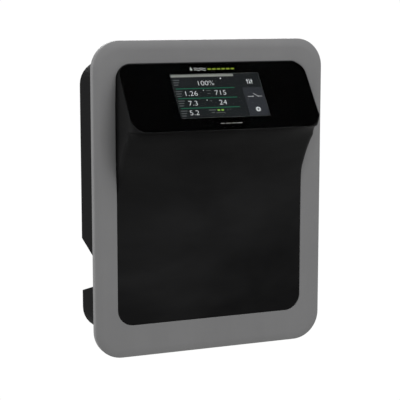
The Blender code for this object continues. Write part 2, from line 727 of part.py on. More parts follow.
def wall_bracket():
    """A pressed steel strip for the wall, with two hooks and two screw slots."""
    top = 128 * MM
    holes = [centred_rectangle(14 * MM, 5.5 * MM, 2.7 * MM, 5, (x, 106 * MM)) for x in (-70 * MM, 0, 70 * MM)]
    edge = centred_rectangle(184 * MM, 36 * MM, 3 * MM, 3, (0, 112 * MM))
    strip = prism("strip", [edge, *holes], -2 * MM, 0)
    for x in HOOK_X:
        arm = box("arm", (x - 12 * MM, -7 * MM, top - 0.5 * MM), (x + 12 * MM, -1 * MM, top + 1.5 * MM))
        hook = box("hook", (x - 12 * MM, -7 * MM, top), (x + 12 * MM, -5.2 * MM, top + 10 * MM))
        join(strip, join(arm, hook))
    return part(strip, "wall_bracket", "steel")


def gland(number, x):
    """Threaded body with its hexagon, blanked off, the domed cap nut, and the lock nut inside the wall."""
    hexagon = cylinder("hexagon", wall_point(x, GAP), wall_point(x, 5 * MM), 10.5 * MM, 6)
    inner_thread = cylinder("inner_thread", wall_point(x, -11 * MM), wall_point(x, 1 * MM), 7.8 * MM)
    outer_thread = cylinder("outer_thread", wall_point(x, 4 * MM), wall_point(x, 13 * MM), 7.2 * MM)
    join(hexagon, inner_thread, outer_thread)
    part(hexagon, f"gland_body_{number}", "black_plastic")
    cap = cylinder("cap", wall_point(x, 5 * MM + GAP), wall_point(x, 12 * MM), 10 * MM, 12)
    dome = cylinder("dome", wall_point(x, 11.5 * MM), wall_point(x, 19 * MM), 9.4 * MM, 24, 6 * MM)
    join(cap, dome)
    inside = cylinder("cap_inside", wall_point(x, 0), wall_point(x, 13 * MM + GAP), 7.2 * MM + GAP)
    bore = cylinder("cap_bore", wall_point(x, 0), wall_point(x, 30 * MM), 4.6 * MM, 20)
    part(cut(cap, inside, bore), f"gland_cap_{number}", "black_plastic")
    nut = cylinder("nut", wall_point(x, -WALL - GAP), wall_point(x, -WALL - 5 * MM), 11 * MM, 6)
    hole = cylinder("nut_bore", wall_point(x, -20 * MM), wall_point(x, 0), 7.8 * MM + GAP)
    part(cut(nut, hole), f"gland_lock_nut_{number}", "black_plastic")


def probe_socket(number, x):
    """A bayonet coaxial socket: flange, barrel with two pins, and the thread inside."""
    flange = cylinder("flange", wall_point(x, GAP), wall_point(x, 2.4 * MM), 7.4 * MM, 6)
    barrel = cylinder("barrel", wall_point(x, 2 * MM), wall_point(x, 12 * MM), 4.8 * MM, 20)
    thread = cylinder("thread", wall_point(x, -12 * MM), wall_point(x, 1 * MM), 4.6 * MM, 20)
    mid = wall_point(x, 8 * MM)
    lugs = cylinder("lugs", mid - Vector((6 * MM, 0, 0)), mid + Vector((6 * MM, 0, 0)), 0.9 * MM, 10)
    bore = cylinder("socket_bore", wall_point(x, 4 * MM), wall_point(x, 20 * MM), 3.4 * MM, 20)
    join(flange, barrel, thread, lugs)
    cut(flange, bore)
    centre = cylinder("contact", wall_point(x, 3 * MM), wall_point(x, 10 * MM), 0.8 * MM, 10)
    part(join(flange, centre), f"probe_socket_{number}", "brass")
    nut = cylinder("nut", wall_point(x, -WALL - GAP), wall_point(x, -WALL - 3 * MM), 7.4 * MM, 6)
    hole = cylinder("nut_bore", wall_point(x, -20 * MM), wall_point(x, 0), 4.6 * MM + GAP, 20)
    part(cut(nut, hole), f"probe_nut_{number}", "brass")


def earth_stud():
    stud = cylinder("stud", wall_point(EARTH_X, -14 * MM), wall_point(EARTH_X, 12 * MM), 3 * MM, 16)
    washer = cylinder("washer", wall_point(EARTH_X, GAP), wall_point(EARTH_X, 1.5 * MM), 7 * MM)
    nut = cylinder("nut", wall_point(EARTH_X, 1.3 * MM), wall_point(EARTH_X, 6 * MM), 5.7 * MM, 6)
    start, end = wall_point(EARTH_X, -WALL - GAP), wall_point(EARTH_X, -WALL - 5 * MM)
    inner = cylinder("inner_nut", start, end, 5.7 * MM, 6)
    part(join(stud, washer, nut, inner), "earth_stud", "brass")


def mains_switch():
    x, y, low = SWITCH_X, BOTTOM_FITTING_Y, HOUSING_BOTTOM
    bezel = box("bezel", (x - 16 * MM, y - 8.5 * MM, low - 2 * MM), (x + 16 * MM, y + 8.5 * MM, low - GAP))
    soften(bezel, 0.6 * MM, 1)
    body = box("body", (x - 13 * MM, y - 6.1 * MM, low - 1 * MM), (x + 13 * MM, y + 6.1 * MM, low + 20 * MM))
    well = box("well", (x - 11 * MM, y - 5 * MM, low - 6 * MM), (x + 11 * MM, y + 5 * MM, low + 8 * MM))
    tabs = [
        box("tab", (mid - 3 * MM, y - 0.4 * MM, low + 19 * MM), (mid + 3 * MM, y + 0.4 * MM, low + 28 * MM))
        for mid in (x - 8 * MM, x + 8 * MM)
    ]
    part(cut(join(bezel, body, *tabs), well), "mains_switch_body", "black_plastic")
    pivot = Vector((x, y, low + 2 * MM))
    outline = [(-9.2, 2.5), (-9.4, -5.2), (0, -3.4), (9.2, -2.6), (9.6, 0.5), (5, 3.4), (-5, 3.6)]
    outline = [(x + u * MM, pivot.z + v * MM) for u, v in outline]
    rocker = prism("rocker", [outline], y - 4.6 * MM, y + 4.6 * MM)
    part(soften(rocker, 0.4 * MM, 1), "mains_switch_rocker", "red_plastic", pivot)


def fuse_holder():
    x, y, low = FUSE_X, BOTTOM_FITTING_Y, HOUSING_BOTTOM
    body = cylinder("body", (x, y, low - 1 * MM), (x, y, low + 34 * MM), 6 * MM)
    flange = cylinder("flange", (x, y, low - 2 * MM), (x, y, low - GAP), 8.6 * MM)
    bore = cylinder("bore", (x, y, low - 5 * MM), (x, y, low + 31 * MM), 4.6 * MM)
    tab = box("tab", (x - 3 * MM, y - 0.4 * MM, low + 33 * MM), (x + 3 * MM, y + 0.4 * MM, low + 42 * MM))
    part(cut(join(body, flange, tab), bore), "fuse_holder", "black_plastic")
    stem = cylinder("stem", (x, y, low - 3 * MM), (x, y, low + 6 * MM), 4.2 * MM)
    knob = cylinder("knob", (x, y, low - 6 * MM), (x, y, low - 2 * MM - GAP), 6.2 * MM, 24)
    slot = box("slot", (x - 5 * MM, y - 0.6 * MM, low - 8 * MM), (x + 5 * MM, y + 0.6 * MM, low - 4.6 * MM))
    part(cut(join(knob, stem), slot), "fuse_cap", "black_plastic", (x, y, low))
    tube = cylinder("tube", (x, y, low + 6.5 * MM), (x, y, low + 26.5 * MM), 2.6 * MM, 16)
    part(tube, "fuse", "steel")


# ---------------------------------------------------------------- electronics


def standoff_places():
    low = MAIN_LOW.z + STANDOFF_INSET
    sides = (MAIN_LOW.x + STANDOFF_INSET, MAIN_HIGH.x - STANDOFF_INSET)
    return [(x, z) for x in sides for z in (low, low + STANDOFF_ROWS)]


def main_board():
    board = box("main_board", MAIN_LOW, MAIN_HIGH)
    for x, z in standoff_places():
        cut(board, cylinder("hole", (x, -40 * MM, z), (x, 0, z), 1.8 * MM, 12))
    part(board, "main_board", "circuit_board")
    for number, (x, z) in enumerate(standoff_places(), 1):
        post = cylinder("post", (x, MAIN_HIGH.y + GAP, z), (x, BOSS_END - GAP, z), 3.2 * MM, 6)
        head = cylinder("head", (x, MAIN_LOW.y - 2.2 * MM, z), (x, MAIN_LOW.y - GAP, z), 2.9 * MM, 16)
        shank = cylinder("shank", (x, MAIN_LOW.y - 1 * MM, z), (x, MAIN_HIGH.y + 1 * MM, z), 1.4 * MM, 12)
        part(join(post, shank, head), f"board_standoff_{number}", "brass")


def on_board(x, z, width, height, tall):
    """Low and high corners of a component on the main board, given its left edge and lower edge."""
    front = MAIN_LOW.y - GAP
    low = Vector((MAIN_LOW.x + x * MM, front - tall * MM, MAIN_LOW.z + z * MM))
    high = Vector((MAIN_LOW.x + (x + width) * MM, front, MAIN_LOW.z + (z + height) * MM))
    return low, high


def terminal_block(name, x, z, ways, material, pitch=8.0):
    low, high = on_board(x, z, ways * pitch, 14, 16)
    block = box(name, low, high)
    soften(block, 0.5 * MM, 1)
    for i in range(ways):
        centre = low.x + (i + 0.5) * pitch * MM
        z_mid = (low.z + high.z) / 2
        start, end = (centre, low.y - 1 * MM, z_mid), (centre, low.y + 4 * MM, z_mid)
        screw = cylinder("screw_well", start, end, 2.4 * MM, 12)
        mouth = box(
            "mouth",
            (centre - 2.4 * MM, low.y + 6 * MM, low.z - 1 * MM),
            (centre + 2.4 * MM, low.y + 11 * MM, low.z + 7 * MM),
        )
        cut(block, screw, mouth)
    part(block, name, material)


def heat_sink():
    low, high = on_board(8, 102, 92, 62, 40)
    base = box("base", (low.x, high.y - 4 * MM, low.z), high)
    fins = 11
    for i in range(fins):
        x = low.x + i * (high.x - low.x - 1.8 * MM) / (fins - 1)
        join(base, box("fin", (x, low.y, low.z), (x + 1.8 * MM, high.y - 1 * MM, high.z)))
    part(base, "heat_sink", "aluminium")


def board_pieces():
    heat_sink()
    for number in range(3):
        low, high = on_board(8 + number * 26, 62, 20, 30, 16)
        part(soften(box("relay", low, high), 0.8 * MM, 2), f"relay_{number + 1}", "blue_plastic")
    for number in range(2):
        low, high = on_board(92, 52 + number * 20, 16, 16, 26)
        x, z = (low.x + high.x) / 2, (low.z + high.z) / 2
        can = turned(
            "can",
            [
                (0, 25.4 * MM), (6.6 * MM, 25.4 * MM), (6.8 * MM, 26 * MM), (7.6 * MM, 25.6 * MM),
                (8 * MM, 24.6 * MM), (8 * MM, 3.4 * MM), (7.3 * MM, 2.8 * MM), (8 * MM, 2.2 * MM),
                (8 * MM, 0), (0, 0),
            ],
            (x, high.y, z),
            (0, -1, 0),
        )  # fmt: skip
        part(can, f"capacitor_{number + 1}", "black_plastic")
    corner, _ = on_board(20, 44, 0, 0, 5.4)
    part(torus("choke", corner, 9 * MM, 4.6 * MM), "choke_coil", "copper")
    low, high = on_board(42, 34, 22, 22, 2.4)
    part(soften(box("chip", low, high), 0.3 * MM, 1), "controller_chip", "black_plastic")
    terminal_block("mains_terminals", 14, 4, 4, "green_plastic")
    terminal_block("cell_terminals", 50, 4, 3, "green_plastic", 10.0)
    terminal_block("probe_terminals", 84, 4, 5, "green_plastic", 5.6)
    low, high = on_board(*HEADER_ON_BOARD)
    part(soften(box("header", low, high), 0.4 * MM, 1), "ribbon_header", "black_plastic")


def torus(name, centre, major, minor):
    """A ring lying flat on the board, its axis along Y."""
    profile = [(major + minor * cos(a), minor * sin(a)) for a in (2 * pi * i / 8 for i in range(8))]
    mesh = bpy.data.meshes.new(name)
    count = len(profile)
    edges = [(i, (i + 1) % count) for i in range(count)]
    mesh.from_pydata([(r, 0, h) for r, h in reversed(profile)], edges, [])
    obj = add(name, mesh)
    screw = obj.modifiers.new("turned", "SCREW")
    screw.steps = 22
    screw.render_steps = 22
    screw.use_merge_vertices = True
    screw.merge_threshold = 0.01 * MM
    obj.rotation_euler = (pi / 2, 0, 0)
    obj.location = centre
    return obj


def power_supply():
    low, high = SUPPLY_LOW, SUPPLY_HIGH
    ledge = 20 * MM
    case = box("case", (low.x, low.y, low.z + ledge), high)
    floor = box("floor", (low.x, high.y - 2 * MM, low.z), (high.x, high.y, low.z + ledge + 1 * MM))
    join(case, floor)
    vents, vent_pitch, half = 9, 9 * MM, 1.6 * MM
    vent_low, vent_high = low.z + 70 * MM, high.z - 14 * MM
    for i in range(vents):
        x = low.x + 12 * MM + i * vent_pitch
        cut(case, box("vent", (x - half, low.y - 1 * MM, vent_low), (x + half, low.y + 1.5 * MM, vent_high)))
    part(soften(case, 0.5 * MM, 1), "power_supply", "aluminium")
    strip = box(
        "strip",
        (low.x + 5 * MM, low.y + 8 * MM, low.z + 2 * MM),
        (high.x - 5 * MM, high.y - 2 * MM - GAP, low.z + ledge - GAP),
    )
    ways = 9
    pitch = (high.x - low.x - 10 * MM) / ways
    for i in range(ways):
        x = low.x + 5 * MM + (i + 0.5) * pitch
        z = low.z + 10 * MM
        cell = box("cell", (x - 3.8 * MM, low.y, z - 10 * MM), (x + 3.8 * MM, low.y + 13 * MM, z + 6 * MM))
        cut(strip, cell)
        join(strip, cylinder("screw", (x, low.y + 14 * MM, z), (x, low.y + 11 * MM, z), 2.6 * MM, 10))
    part(strip, "power_supply_terminals", "black_plastic")


def display_ribbon():
    """The flat cable from the main board's header, past the hinge side of the door, to the display board."""
    low, high = on_board(*HEADER_ON_BOARD)
    start = Vector(((low.x + high.x) / 2, low.y - GAP, (low.z + high.z) / 2))
    back = BOARD_DEPTH + BOARD_SIZE[2] + HEADER_TALL
    place = lens_place(HEADER_ACROSS, HEADER_DOWN, back + GAP)
    end, inward = place.translation, -place.col[2].xyz
    route = [start, start + Vector((0, -44, 0)) * MM, end + inward * 34 * MM, end]
    steps = 14
    half = RIBBON_WIDTH / 2

    def build(bm):
        rings = []
        path = list(bezier(route, steps))
        for i, point in enumerate(path):
            ahead = path[min(i + 1, steps)] - path[max(i - 1, 0)]
            across = Vector((0, 0, 1)).lerp(place.col[1].xyz, i / steps).normalized()
            side = ahead.cross(across).normalized() * RIBBON_THICKNESS / 2
            corners = [point + across * half * a + side * b for a, b in ((1, 1), (1, -1), (-1, -1), (-1, 1))]
            rings.append([bm.verts.new(p) for p in corners])
        for before, after in zip(rings, rings[1:]):
            for i in range(4):
                bm.faces.new((before[i], before[i - 3], after[i - 3], after[i]))
        bm.faces.new(rings[0])
        bm.faces.new(rings[-1])

    part(add("ribbon", mesh_from(build)), "display_ribbon", "ribbon", HINGE_AXIS)


def main():
    front_frame()
    front_panel()
    display_pieces()
    panel_screws()
    door_gasket()
    door_locks()
    hinges()
    rear_housing()
    wall_bracket()
    for number, x in enumerate(GLAND_X, 1):
        gland(number, x)
    for number, x in enumerate(SOCKET_X, 1):
        probe_socket(number, x)
    earth_stud()
    mains_switch()
    fuse_holder()
    main_board()
    board_pieces()
    power_supply()
    display_ribbon()


main()
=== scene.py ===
"""Looks of a wall-mounted salt chlorinator control unit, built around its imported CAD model.

Metres, +Z up. The wall is the plane y = 0 and the door's face looks along -Y. Sizes in millimetres are
multiplied by MM. The design sizes below are the ones the CAD model is made from.
"""

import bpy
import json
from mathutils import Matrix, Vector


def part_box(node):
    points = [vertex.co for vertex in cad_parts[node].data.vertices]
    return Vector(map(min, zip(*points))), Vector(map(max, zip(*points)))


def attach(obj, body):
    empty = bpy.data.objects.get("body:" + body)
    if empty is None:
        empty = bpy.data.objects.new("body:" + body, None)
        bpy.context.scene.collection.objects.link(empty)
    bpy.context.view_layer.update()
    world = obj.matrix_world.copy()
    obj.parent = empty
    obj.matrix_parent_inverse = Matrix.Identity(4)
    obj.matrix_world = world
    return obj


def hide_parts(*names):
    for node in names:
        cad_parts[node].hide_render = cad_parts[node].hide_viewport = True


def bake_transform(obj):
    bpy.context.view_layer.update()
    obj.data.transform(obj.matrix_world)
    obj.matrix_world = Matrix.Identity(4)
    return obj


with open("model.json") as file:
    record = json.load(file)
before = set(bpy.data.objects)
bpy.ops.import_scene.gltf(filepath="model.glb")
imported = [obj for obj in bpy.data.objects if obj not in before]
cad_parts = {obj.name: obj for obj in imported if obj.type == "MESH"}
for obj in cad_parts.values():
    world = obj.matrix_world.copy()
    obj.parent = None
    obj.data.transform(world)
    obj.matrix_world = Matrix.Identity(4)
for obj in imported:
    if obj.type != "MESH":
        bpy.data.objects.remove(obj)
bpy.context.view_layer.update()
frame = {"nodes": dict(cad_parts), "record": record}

import json
from math import atan, cos, exp, log, pi, radians, sin, sqrt

import bmesh
import bpy
from mathutils import Matrix, Vector

MM = 0.001
GAP = 0.3 * MM

# Grey surround of the door
COVER = (293 * MM, 373 * MM, 33.5 * MM)  # width, height, corner radius
COVER_FRONT = -81 * MM
COVER_BACK = -71 * MM
COVER_CROWN = (11 * MM, 1.5 * MM)  # the soft roll-off round the face: width and depth
COVER_ROUND = 2.4 * MM
INNER_ROUND = 4 * MM
WALL = 3 * MM
SCOOP_DEPTH = 3.2 * MM  # the dish beside the pod
SCOOP_TOP, SCOOP_TOP_FALL = 154 * MM, 41 * MM  # its upper end, and how far that falls towards the outside
SCOOP_LOW, SCOOP_LOW_RISE = 8 * MM, 40 * MM

# Black panel with its display pod
PANEL_HALF = 118.5 * MM
PANEL_TOP = 159.5 * MM
PANEL_BOTTOM = -147.3 * MM
PANEL_RADIUS = 19 * MM  # of its lower corners
PANEL_TOP_RADIUS = 17 * MM
PANEL_RECESS = 0.4 * MM
PANEL_BACK = -77.4 * MM
PANEL_WALL = 2.8 * MM
FLANGE_THICKNESS = 2.4 * MM  # of the panel's rim behind the surround
POD_TILT = radians(37)
POD_SHOULDER = 7 * MM
SWEEP = ((56.6, 85.6), (36, 84), (6, 36), (0, 6))  # underside curve: depth and height, mm
SWEEP_SHIFT = ((-2.0, 1.0), (-0.5, 1.0), (-0.9, 0.5), (-1.0, 0.4))  # how a wall moves each of its points

# Lens and display, measured down and across the lens from the middle of its upper front edge
LENS = (236.4 * MM, 91.5 * MM, 20 * MM)  # width, height, radius of the lower corners
LENS_TOP_RADIUS = 16 * MM
LENS_THICKNESS = 2 * MM
LENS_TOP = Vector((0, -84, 160.5)) * MM
DISPLAY_SHIFT = -2 * MM
DISPLAY_SIZE = (120 * MM, 76 * MM)
DISPLAY_DOWN = 47.5 * MM
SCREEN_LEFT, SCREEN_DOWN = -56.6 * MM, 15.4 * MM
SCREEN_WIDTH, SCREEN_HEIGHT = 110.8 * MM, 59 * MM
MARK_THICKNESS = 0.02 * MM  # of a lit mark on the screen and of a printed one on the lens
BOARD = (150 * MM, 70 * MM, 1.6 * MM)
BOARD_DOWN = 42 * MM
BOARD_DEPTH = 12 * MM
HEADER_DOWN, HEADER_ACROSS, HEADER_TALL = 50 * MM, 58 * MM, 7 * MM
RIBBON_WIDTH = 26 * MM

LOCK_X = (-100 * MM, 60 * MM)
LOCK_Y = -74.2 * MM
LOCK_RADIUS = 1.8 * MM
SCREW_HEIGHTS = (0, -110 * MM)
SCREW_OUT = 3.6 * MM  # from the panel's side to the screws
PILOT_RADIUS = 1.7 * MM

# Camera and floor
CAMERA_LENS = 116.3  # mm, on a sensor 36 mm wide
CAMERA_AZIMUTH, CAMERA_ELEVATION = radians(-22.6), radians(8.75)
CAMERA_DISTANCE = 1.537
CAMERA_TARGET = Vector((-14.9, -81, -2.8)) * MM
FLOOR_SIZE, FLOOR_HEIGHT = 3.4, -1.3


# ---------------- shader helpers


class Shader:
    """A node material with a Principled shader and short ways to add noise, ramps and bump."""

    def __init__(self, name):
        self.material = bpy.data.materials.new(name)
        self.material.use_nodes = True
        self.nodes = self.material.node_tree.nodes
        self.links = self.material.node_tree.links
        self.surface = self.nodes["Principled BSDF"]
        self.place = self.nodes.new("ShaderNodeTexCoord").outputs["Object"]
        self.height = None

    def set(self, **values):
        for name, value in values.items():
            self.surface.inputs[name.replace("_", " ")].default_value = value
        return self

    def node(self, kind, inputs=(), **settings):
        made = self.nodes.new("ShaderNode" + kind)
        for name, value in settings.items():
            setattr(made, name, value)
        for name, value in dict(inputs).items():
            if isinstance(value, bpy.types.NodeSocket):
                self.links.new(value, made.inputs[name])
            else:
                made.inputs[name].default_value = value
        return made

    def stretched(self, scale):
        return self.node("Mapping", {"Vector": self.place, "Scale": scale}).outputs["Vector"]

    def noise(self, scale, detail=3.0, rough=0.5, distortion=0.0, vector=None):
        values = {"Vector": vector or self.place, "Scale": scale, "Detail": detail, "Roughness": rough}
        return self.node("TexNoise", {**values, "Distortion": distortion}).outputs["Fac"]

    def cells(self, scale):
        return self.node("TexVoronoi", {"Vector": self.place, "Scale": scale}).outputs["Distance"]

    def spread(self, value, low, high, start=0.3, end=0.7):
        reach = {"From Min": start, "From Max": end, "To Min": low, "To Max": high}
        return self.node("MapRange", {"Value": value, **reach}).outputs["Result"]

    def math(self, operation, first, second):
        return self.node("Math", {0: first, 1: second}, operation=operation).outputs[0]

    def tint(self, value, low, high, start=0.3, end=0.7):
        """A colour from low to high, as value goes from start to end."""
        mix = self.node("Mix", data_type="RGBA")
        self.links.new(self.spread(value, 0, 1, start, end), mix.inputs[0])
        for socket, colour in ((6, low), (7, high)):
            if isinstance(colour, bpy.types.NodeSocket):
                self.links.new(colour, mix.inputs[socket])
            else:
                mix.inputs[socket].default_value = (*colour, 1)
        return mix.outputs[2]

    def drive(self, socket, value):
        self.links.new(value, self.surface.inputs[socket])

    def colour(self, *tinted):
        self.drive("Base Color", self.tint(*tinted))

    def bump(self, value, depth):
        inputs = {"Height": value, "Distance": depth}
        if self.height is not None:
            inputs["Normal"] = self.height
        self.height = self.node("Bump", inputs).outputs["Normal"]
        self.drive("Normal", self.height)

    def round_edges(self, radius):
        """Softens hard edges in the shading, under any bump added after it."""
        self.height = self.node("Bevel", {"Radius": radius}, samples=4).outputs["Normal"]
        self.drive("Normal", self.height)


def shade(colour, factor):
    return tuple(c * factor for c in colour)


def plastic(name, colour, rough=0.5, grain=0.5, depth=0.02, mottle=0.08, specular=0.5, edges=0.0):
    """Moulded plastic: an etched grain, cloudy gloss and a little uneven colour. Lengths in millimetres."""
    made = Shader(name).set(Specular_IOR_Level=specular)
    cloud = made.noise(14, 4, 0.6, 0.4)
    made.colour(cloud, shade(colour, 1 - mottle), shade(colour, 1 + mottle))
    fine = made.noise(1 / (grain * MM), 2, 0.6)
    gloss = made.math("ADD", made.spread(cloud, -0.05, 0.05), made.spread(fine, rough - 0.05, rough + 0.05))
    made.drive("Roughness", gloss)
    if edges:
        made.round_edges(edges * MM)
    made.bump(fine, depth * MM)
    return made.material


def metal(name, colour, along, scale, rough=0.3, depth=0.01, stain=0.12):
    """Worked metal: fine lines drawn out along one axis, and a cloudy film of oxide."""
    made = Shader(name).set(Metallic=1.0)
    lines = made.noise(scale, 3, 0.6, vector=made.stretched(along))
    cloud = made.noise(45, 5, 0.65, 0.6)
    made.colour(cloud, shade(colour, 1 - stain), shade(colour, 1 + stain / 2))
    gloss = made.math("ADD", made.spread(lines, -0.06, 0.08), made.spread(cloud, rough, rough + 0.12))
    made.drive("Roughness", gloss)
    made.round_edges(0.3 * MM)
    made.bump(lines, depth * MM)
    return made.material


# ---------------- materials


def grey_cover():
    made = Shader("grey_cover").set(Specular_IOR_Level=0.2)
    cloud = made.noise(7, 4, 0.6, 0.3)
    streak = made.noise(30, 3, 0.6, vector=made.stretched((1, 1, 0.12)))
    base = made.tint(cloud, (0.192, 0.192, 0.194), (0.212, 0.212, 0.214))
    faint = made.tint(streak, (0.188, 0.188, 0.190), (0.216, 0.216, 0.218))
    mix = made.node("Mix", {0: 0.35}, data_type="RGBA")
    made.links.new(base, mix.inputs[6])
    made.links.new(faint, mix.inputs[7])
    made.drive("Base Color", mix.outputs[2])
    fine = made.noise(1900, 2, 0.6)
    made.drive("Roughness", made.math("ADD", made.spread(cloud, -0.03, 0.03), made.spread(fine, 0.46, 0.56)))
    made.bump(fine, 0.02 * MM)
    return made.material


def black_panel():
    made = Shader("black_panel").set(Specular_IOR_Level=0.06)
    # Cloudy colour from 0.004 to 0.013: partly uneven tone of the moulding, partly painted reflection,
    # blotches of sheen laid on the black face.
    cloud = made.noise(5, 4, 0.55, 0.35, made.stretched((0.7, 1, 1.5)))
    made.colour(cloud, (0.0040, 0.0040, 0.0042), (0.0130, 0.0130, 0.0133), 0.36, 0.64)
    fine = made.noise(1500, 2, 0.6)
    made.drive("Roughness", made.math("ADD", made.spread(cloud, -0.06, 0.06), made.spread(fine, 0.42, 0.5)))
    made.bump(fine, 0.012 * MM)
    return made.material


def lens_glass():
    made = Shader("lens_glass").set(Base_Color=(0.96, 0.97, 0.97, 1), Transmission_Weight=1.0, IOR=1.05)
    made.set(Specular_IOR_Level=0.06)
    smear = made.noise(26, 5, 0.7, 1.2)
    made.drive("Roughness", made.spread(smear, 0.012, 0.05, 0.35, 0.75))
    made.bump(made.noise(5, 2), 0.02 * MM)
    return made.material


def black_print():
    made = Shader("black_print").set(Specular_IOR_Level=0.0)
    speck = made.noise(3200, 2)
    made.colour(speck, (0.0004, 0.0004, 0.0005), (0.0009, 0.0009, 0.001))
    made.drive("Roughness", made.spread(speck, 0.3, 0.4))
    return made.material


def lit(name, colour, strength=1.0):
    """A glowing material: a lit part of the screen with its slightly uneven backlight; the lens's print uses
    it too, as painted light.
    """
    made = Shader(name).set(Roughness=0.35, Specular_IOR_Level=0.02, Emission_Strength=strength)
    glow = made.noise(18, 2)
    made.drive("Emission Color", made.tint(glow, shade(colour, 0.94), shade(colour, 1.04)))
    made.colour(glow, shade(colour, 0.05), shade(colour, 0.08))
    return made.material


def circuit_board():
    """Solder mask over copper tracks and plated holes."""
    made = Shader("circuit_board").set(Specular_IOR_Level=0.6)
    flat = made.node("Mapping", {"Vector": made.place, "Rotation": (pi / 2, 0, 0)}).outputs[0]
    tracks = made.node(
        "TexBrick",
        {"Vector": flat, "Scale": 95.0, "Mortar Size": 0.035, "Mortar Smooth": 0.2,
         "Brick Width": 0.9, "Row Height": 0.28},
        offset=0.37, squash=1.7, squash_frequency=3,
    )
    holes = made.spread(made.cells(210), 1, 0, 0.12, 0.16)
    cloud = made.noise(60, 3)
    mask = made.tint(cloud, (0.006, 0.055, 0.028), (0.009, 0.075, 0.038))
    copper = made.tint(tracks.outputs["Fac"], mask, (0.02, 0.15, 0.07), 0, 1)
    made.colour(holes, copper, (0.35, 0.33, 0.28), 0, 1)
    made.drive("Metallic", made.math("MULTIPLY", holes, 0.8))
    made.drive("Roughness", made.spread(cloud, 0.22, 0.34))
    made.bump(tracks.outputs["Fac"], 0.03 * MM)
    made.bump(holes, 0.02 * MM)
    return made.material


def copper_winding():
    """Enamelled wire wound round the ring, its colour darker in the grooves between turns as painted shade.
    """
    made = Shader("copper_winding").set(Metallic=0.85, Coat_Weight=0.6, Coat_Roughness=0.12)
    turns = made.node(
        "TexWave", {"Vector": made.place, "Scale": 330.0, "Distortion": 1.2, "Detail": 1.0},
        wave_type="RINGS", rings_direction="Y",
    ).outputs["Fac"]
    # Painted shade: the colour follows the bump, darkest in the grooves between turns.
    made.colour(turns, (0.16, 0.035, 0.012), (0.52, 0.17, 0.06), 0, 1)
    made.drive("Roughness", made.spread(turns, 0.34, 0.2, 0, 1))
    made.bump(turns, 0.25 * MM)
    return made.material


def ribbon_cable():
    """Flat cable: a row of round cores side by side, each one a rib, its colour darker in the grooves between
    cores as painted shade.
    """
    made = Shader("ribbon").set(Specular_IOR_Level=0.4)
    cores = made.node(
        "TexWave", {"Vector": made.place, "Scale": 125.0, "Distortion": 0.0}, bands_direction="Z"
    ).outputs["Fac"]
    # Painted shade: the colour follows the bump, darkest in the grooves between cores.
    made.colour(cores, (0.16, 0.16, 0.165), (0.31, 0.31, 0.32), 0, 1)
    made.drive("Roughness", made.spread(made.noise(300), 0.4, 0.5))
    made.bump(cores, 0.3 * MM)
    return made.material


def fuse_glass():
    made = Shader("fuse_glass").set(Transmission_Weight=0.7, IOR=1.5)
    smear = made.noise(400, 3)
    made.colour(smear, (0.75, 0.79, 0.79), (0.85, 0.9, 0.9))
    made.drive("Roughness", made.spread(smear, 0.03, 0.12))
    made.bump(smear, 0.01 * MM)
    return made.material


PLASTICS = {
    "black_shell": dict(
        colour=(0.004, 0.004, 0.0042), rough=0.6, grain=0.9, depth=0.05, mottle=0.25, specular=0.04, edges=0.6
    ),
    "black_plastic": dict(
        colour=(0.011, 0.011, 0.0115), rough=0.42, grain=0.4, mottle=0.14, specular=0.35, edges=0.35
    ),
    "green_terminal": dict(colour=(0.02, 0.2, 0.07), rough=0.4, grain=0.4, edges=0.25),
    "relay_case": dict(colour=(0.015, 0.06, 0.26), rough=0.3, grain=0.6, depth=0.01, mottle=0.06, edges=0.3),
    "rocker": dict(colour=(0.42, 0.015, 0.01), rough=0.28, grain=0.6, depth=0.01, mottle=0.06, edges=0.3),
    "capacitor_sleeve": dict(colour=(0.01, 0.012, 0.03), rough=0.22, grain=1.5, depth=0.03, mottle=0.1),
    "gasket_rubber": dict(colour=(0.012, 0.012, 0.012), rough=0.7, depth=0.06, mottle=0.15, specular=0.3),
    "resistor_lacquer": dict(colour=(0.42, 0.27, 0.14), rough=0.35, mottle=0.15),
    "board_ink": dict(colour=(0.7, 0.7, 0.68), grain=0.3, depth=0.01, mottle=0.1, specular=0.4),
}
METALS = {
    "display": dict(colour=(0.3, 0.31, 0.32), along=(1, 1, 8), scale=200),
    "zinc_steel": dict(colour=(0.56, 0.57, 0.58), rough=0.26, along=(1, 1, 5), scale=180, stain=0.16),
    "aluminium": dict(colour=(0.66, 0.67, 0.68), along=(1, 1, 0.08), scale=700, depth=0.015, stain=0.08),
    "brass": dict(colour=(0.66, 0.44, 0.16), rough=0.24, along=(1, 1, 4), scale=300, depth=0.008, stain=0.14),
}
MATERIALS = {
    "grey_cover": grey_cover(),
    "black_panel": black_panel(),
    "lens_glass": lens_glass(),
    "circuit_board": circuit_board(),
    "copper_winding": copper_winding(),
    "ribbon": ribbon_cable(),
    "fuse_glass": fuse_glass(),
    "black_print": black_print(),
    **{name: plastic(name, **settings) for name, settings in PLASTICS.items()},
    **{name: metal(name, **settings) for name, settings in METALS.items()},
}


def dress_cad_nodes():
    """Every CAD node takes the material of its slot in the record."""
    for part in frame["record"]["subparts"]:
        obj = frame["nodes"][part["node"]]
        for slot in obj.material_slots:
            slot.material = MATERIALS[part["material_slot"]]
        if not obj.material_slots:
            obj.data.materials.append(MATERIALS[part["material_slot"]])


# ---------------- mesh helpers


def add(name, data):
    obj = bpy.data.objects.new(name, data)
    bpy.context.scene.collection.objects.link(obj)
    return obj


def evaluated(obj):
    """The mesh that an object's curve or modifiers make."""
    return bpy.data.meshes.new_from_object(obj.evaluated_get(bpy.context.evaluated_depsgraph_get()))


def remove(obj):
    bpy.data.objects.remove(obj, do_unlink=True)


def shifted(x, y, z):
    return Matrix.Translation((x, y, z))


def mesh_object(name, build):
    mesh = bpy.data.meshes.new(name)
    bm = bmesh.new()
    build(bm)
    bmesh.ops.recalc_face_normals(bm, faces=bm.faces)
    bm.to_mesh(mesh)
    bm.free()
    return add(name, mesh)


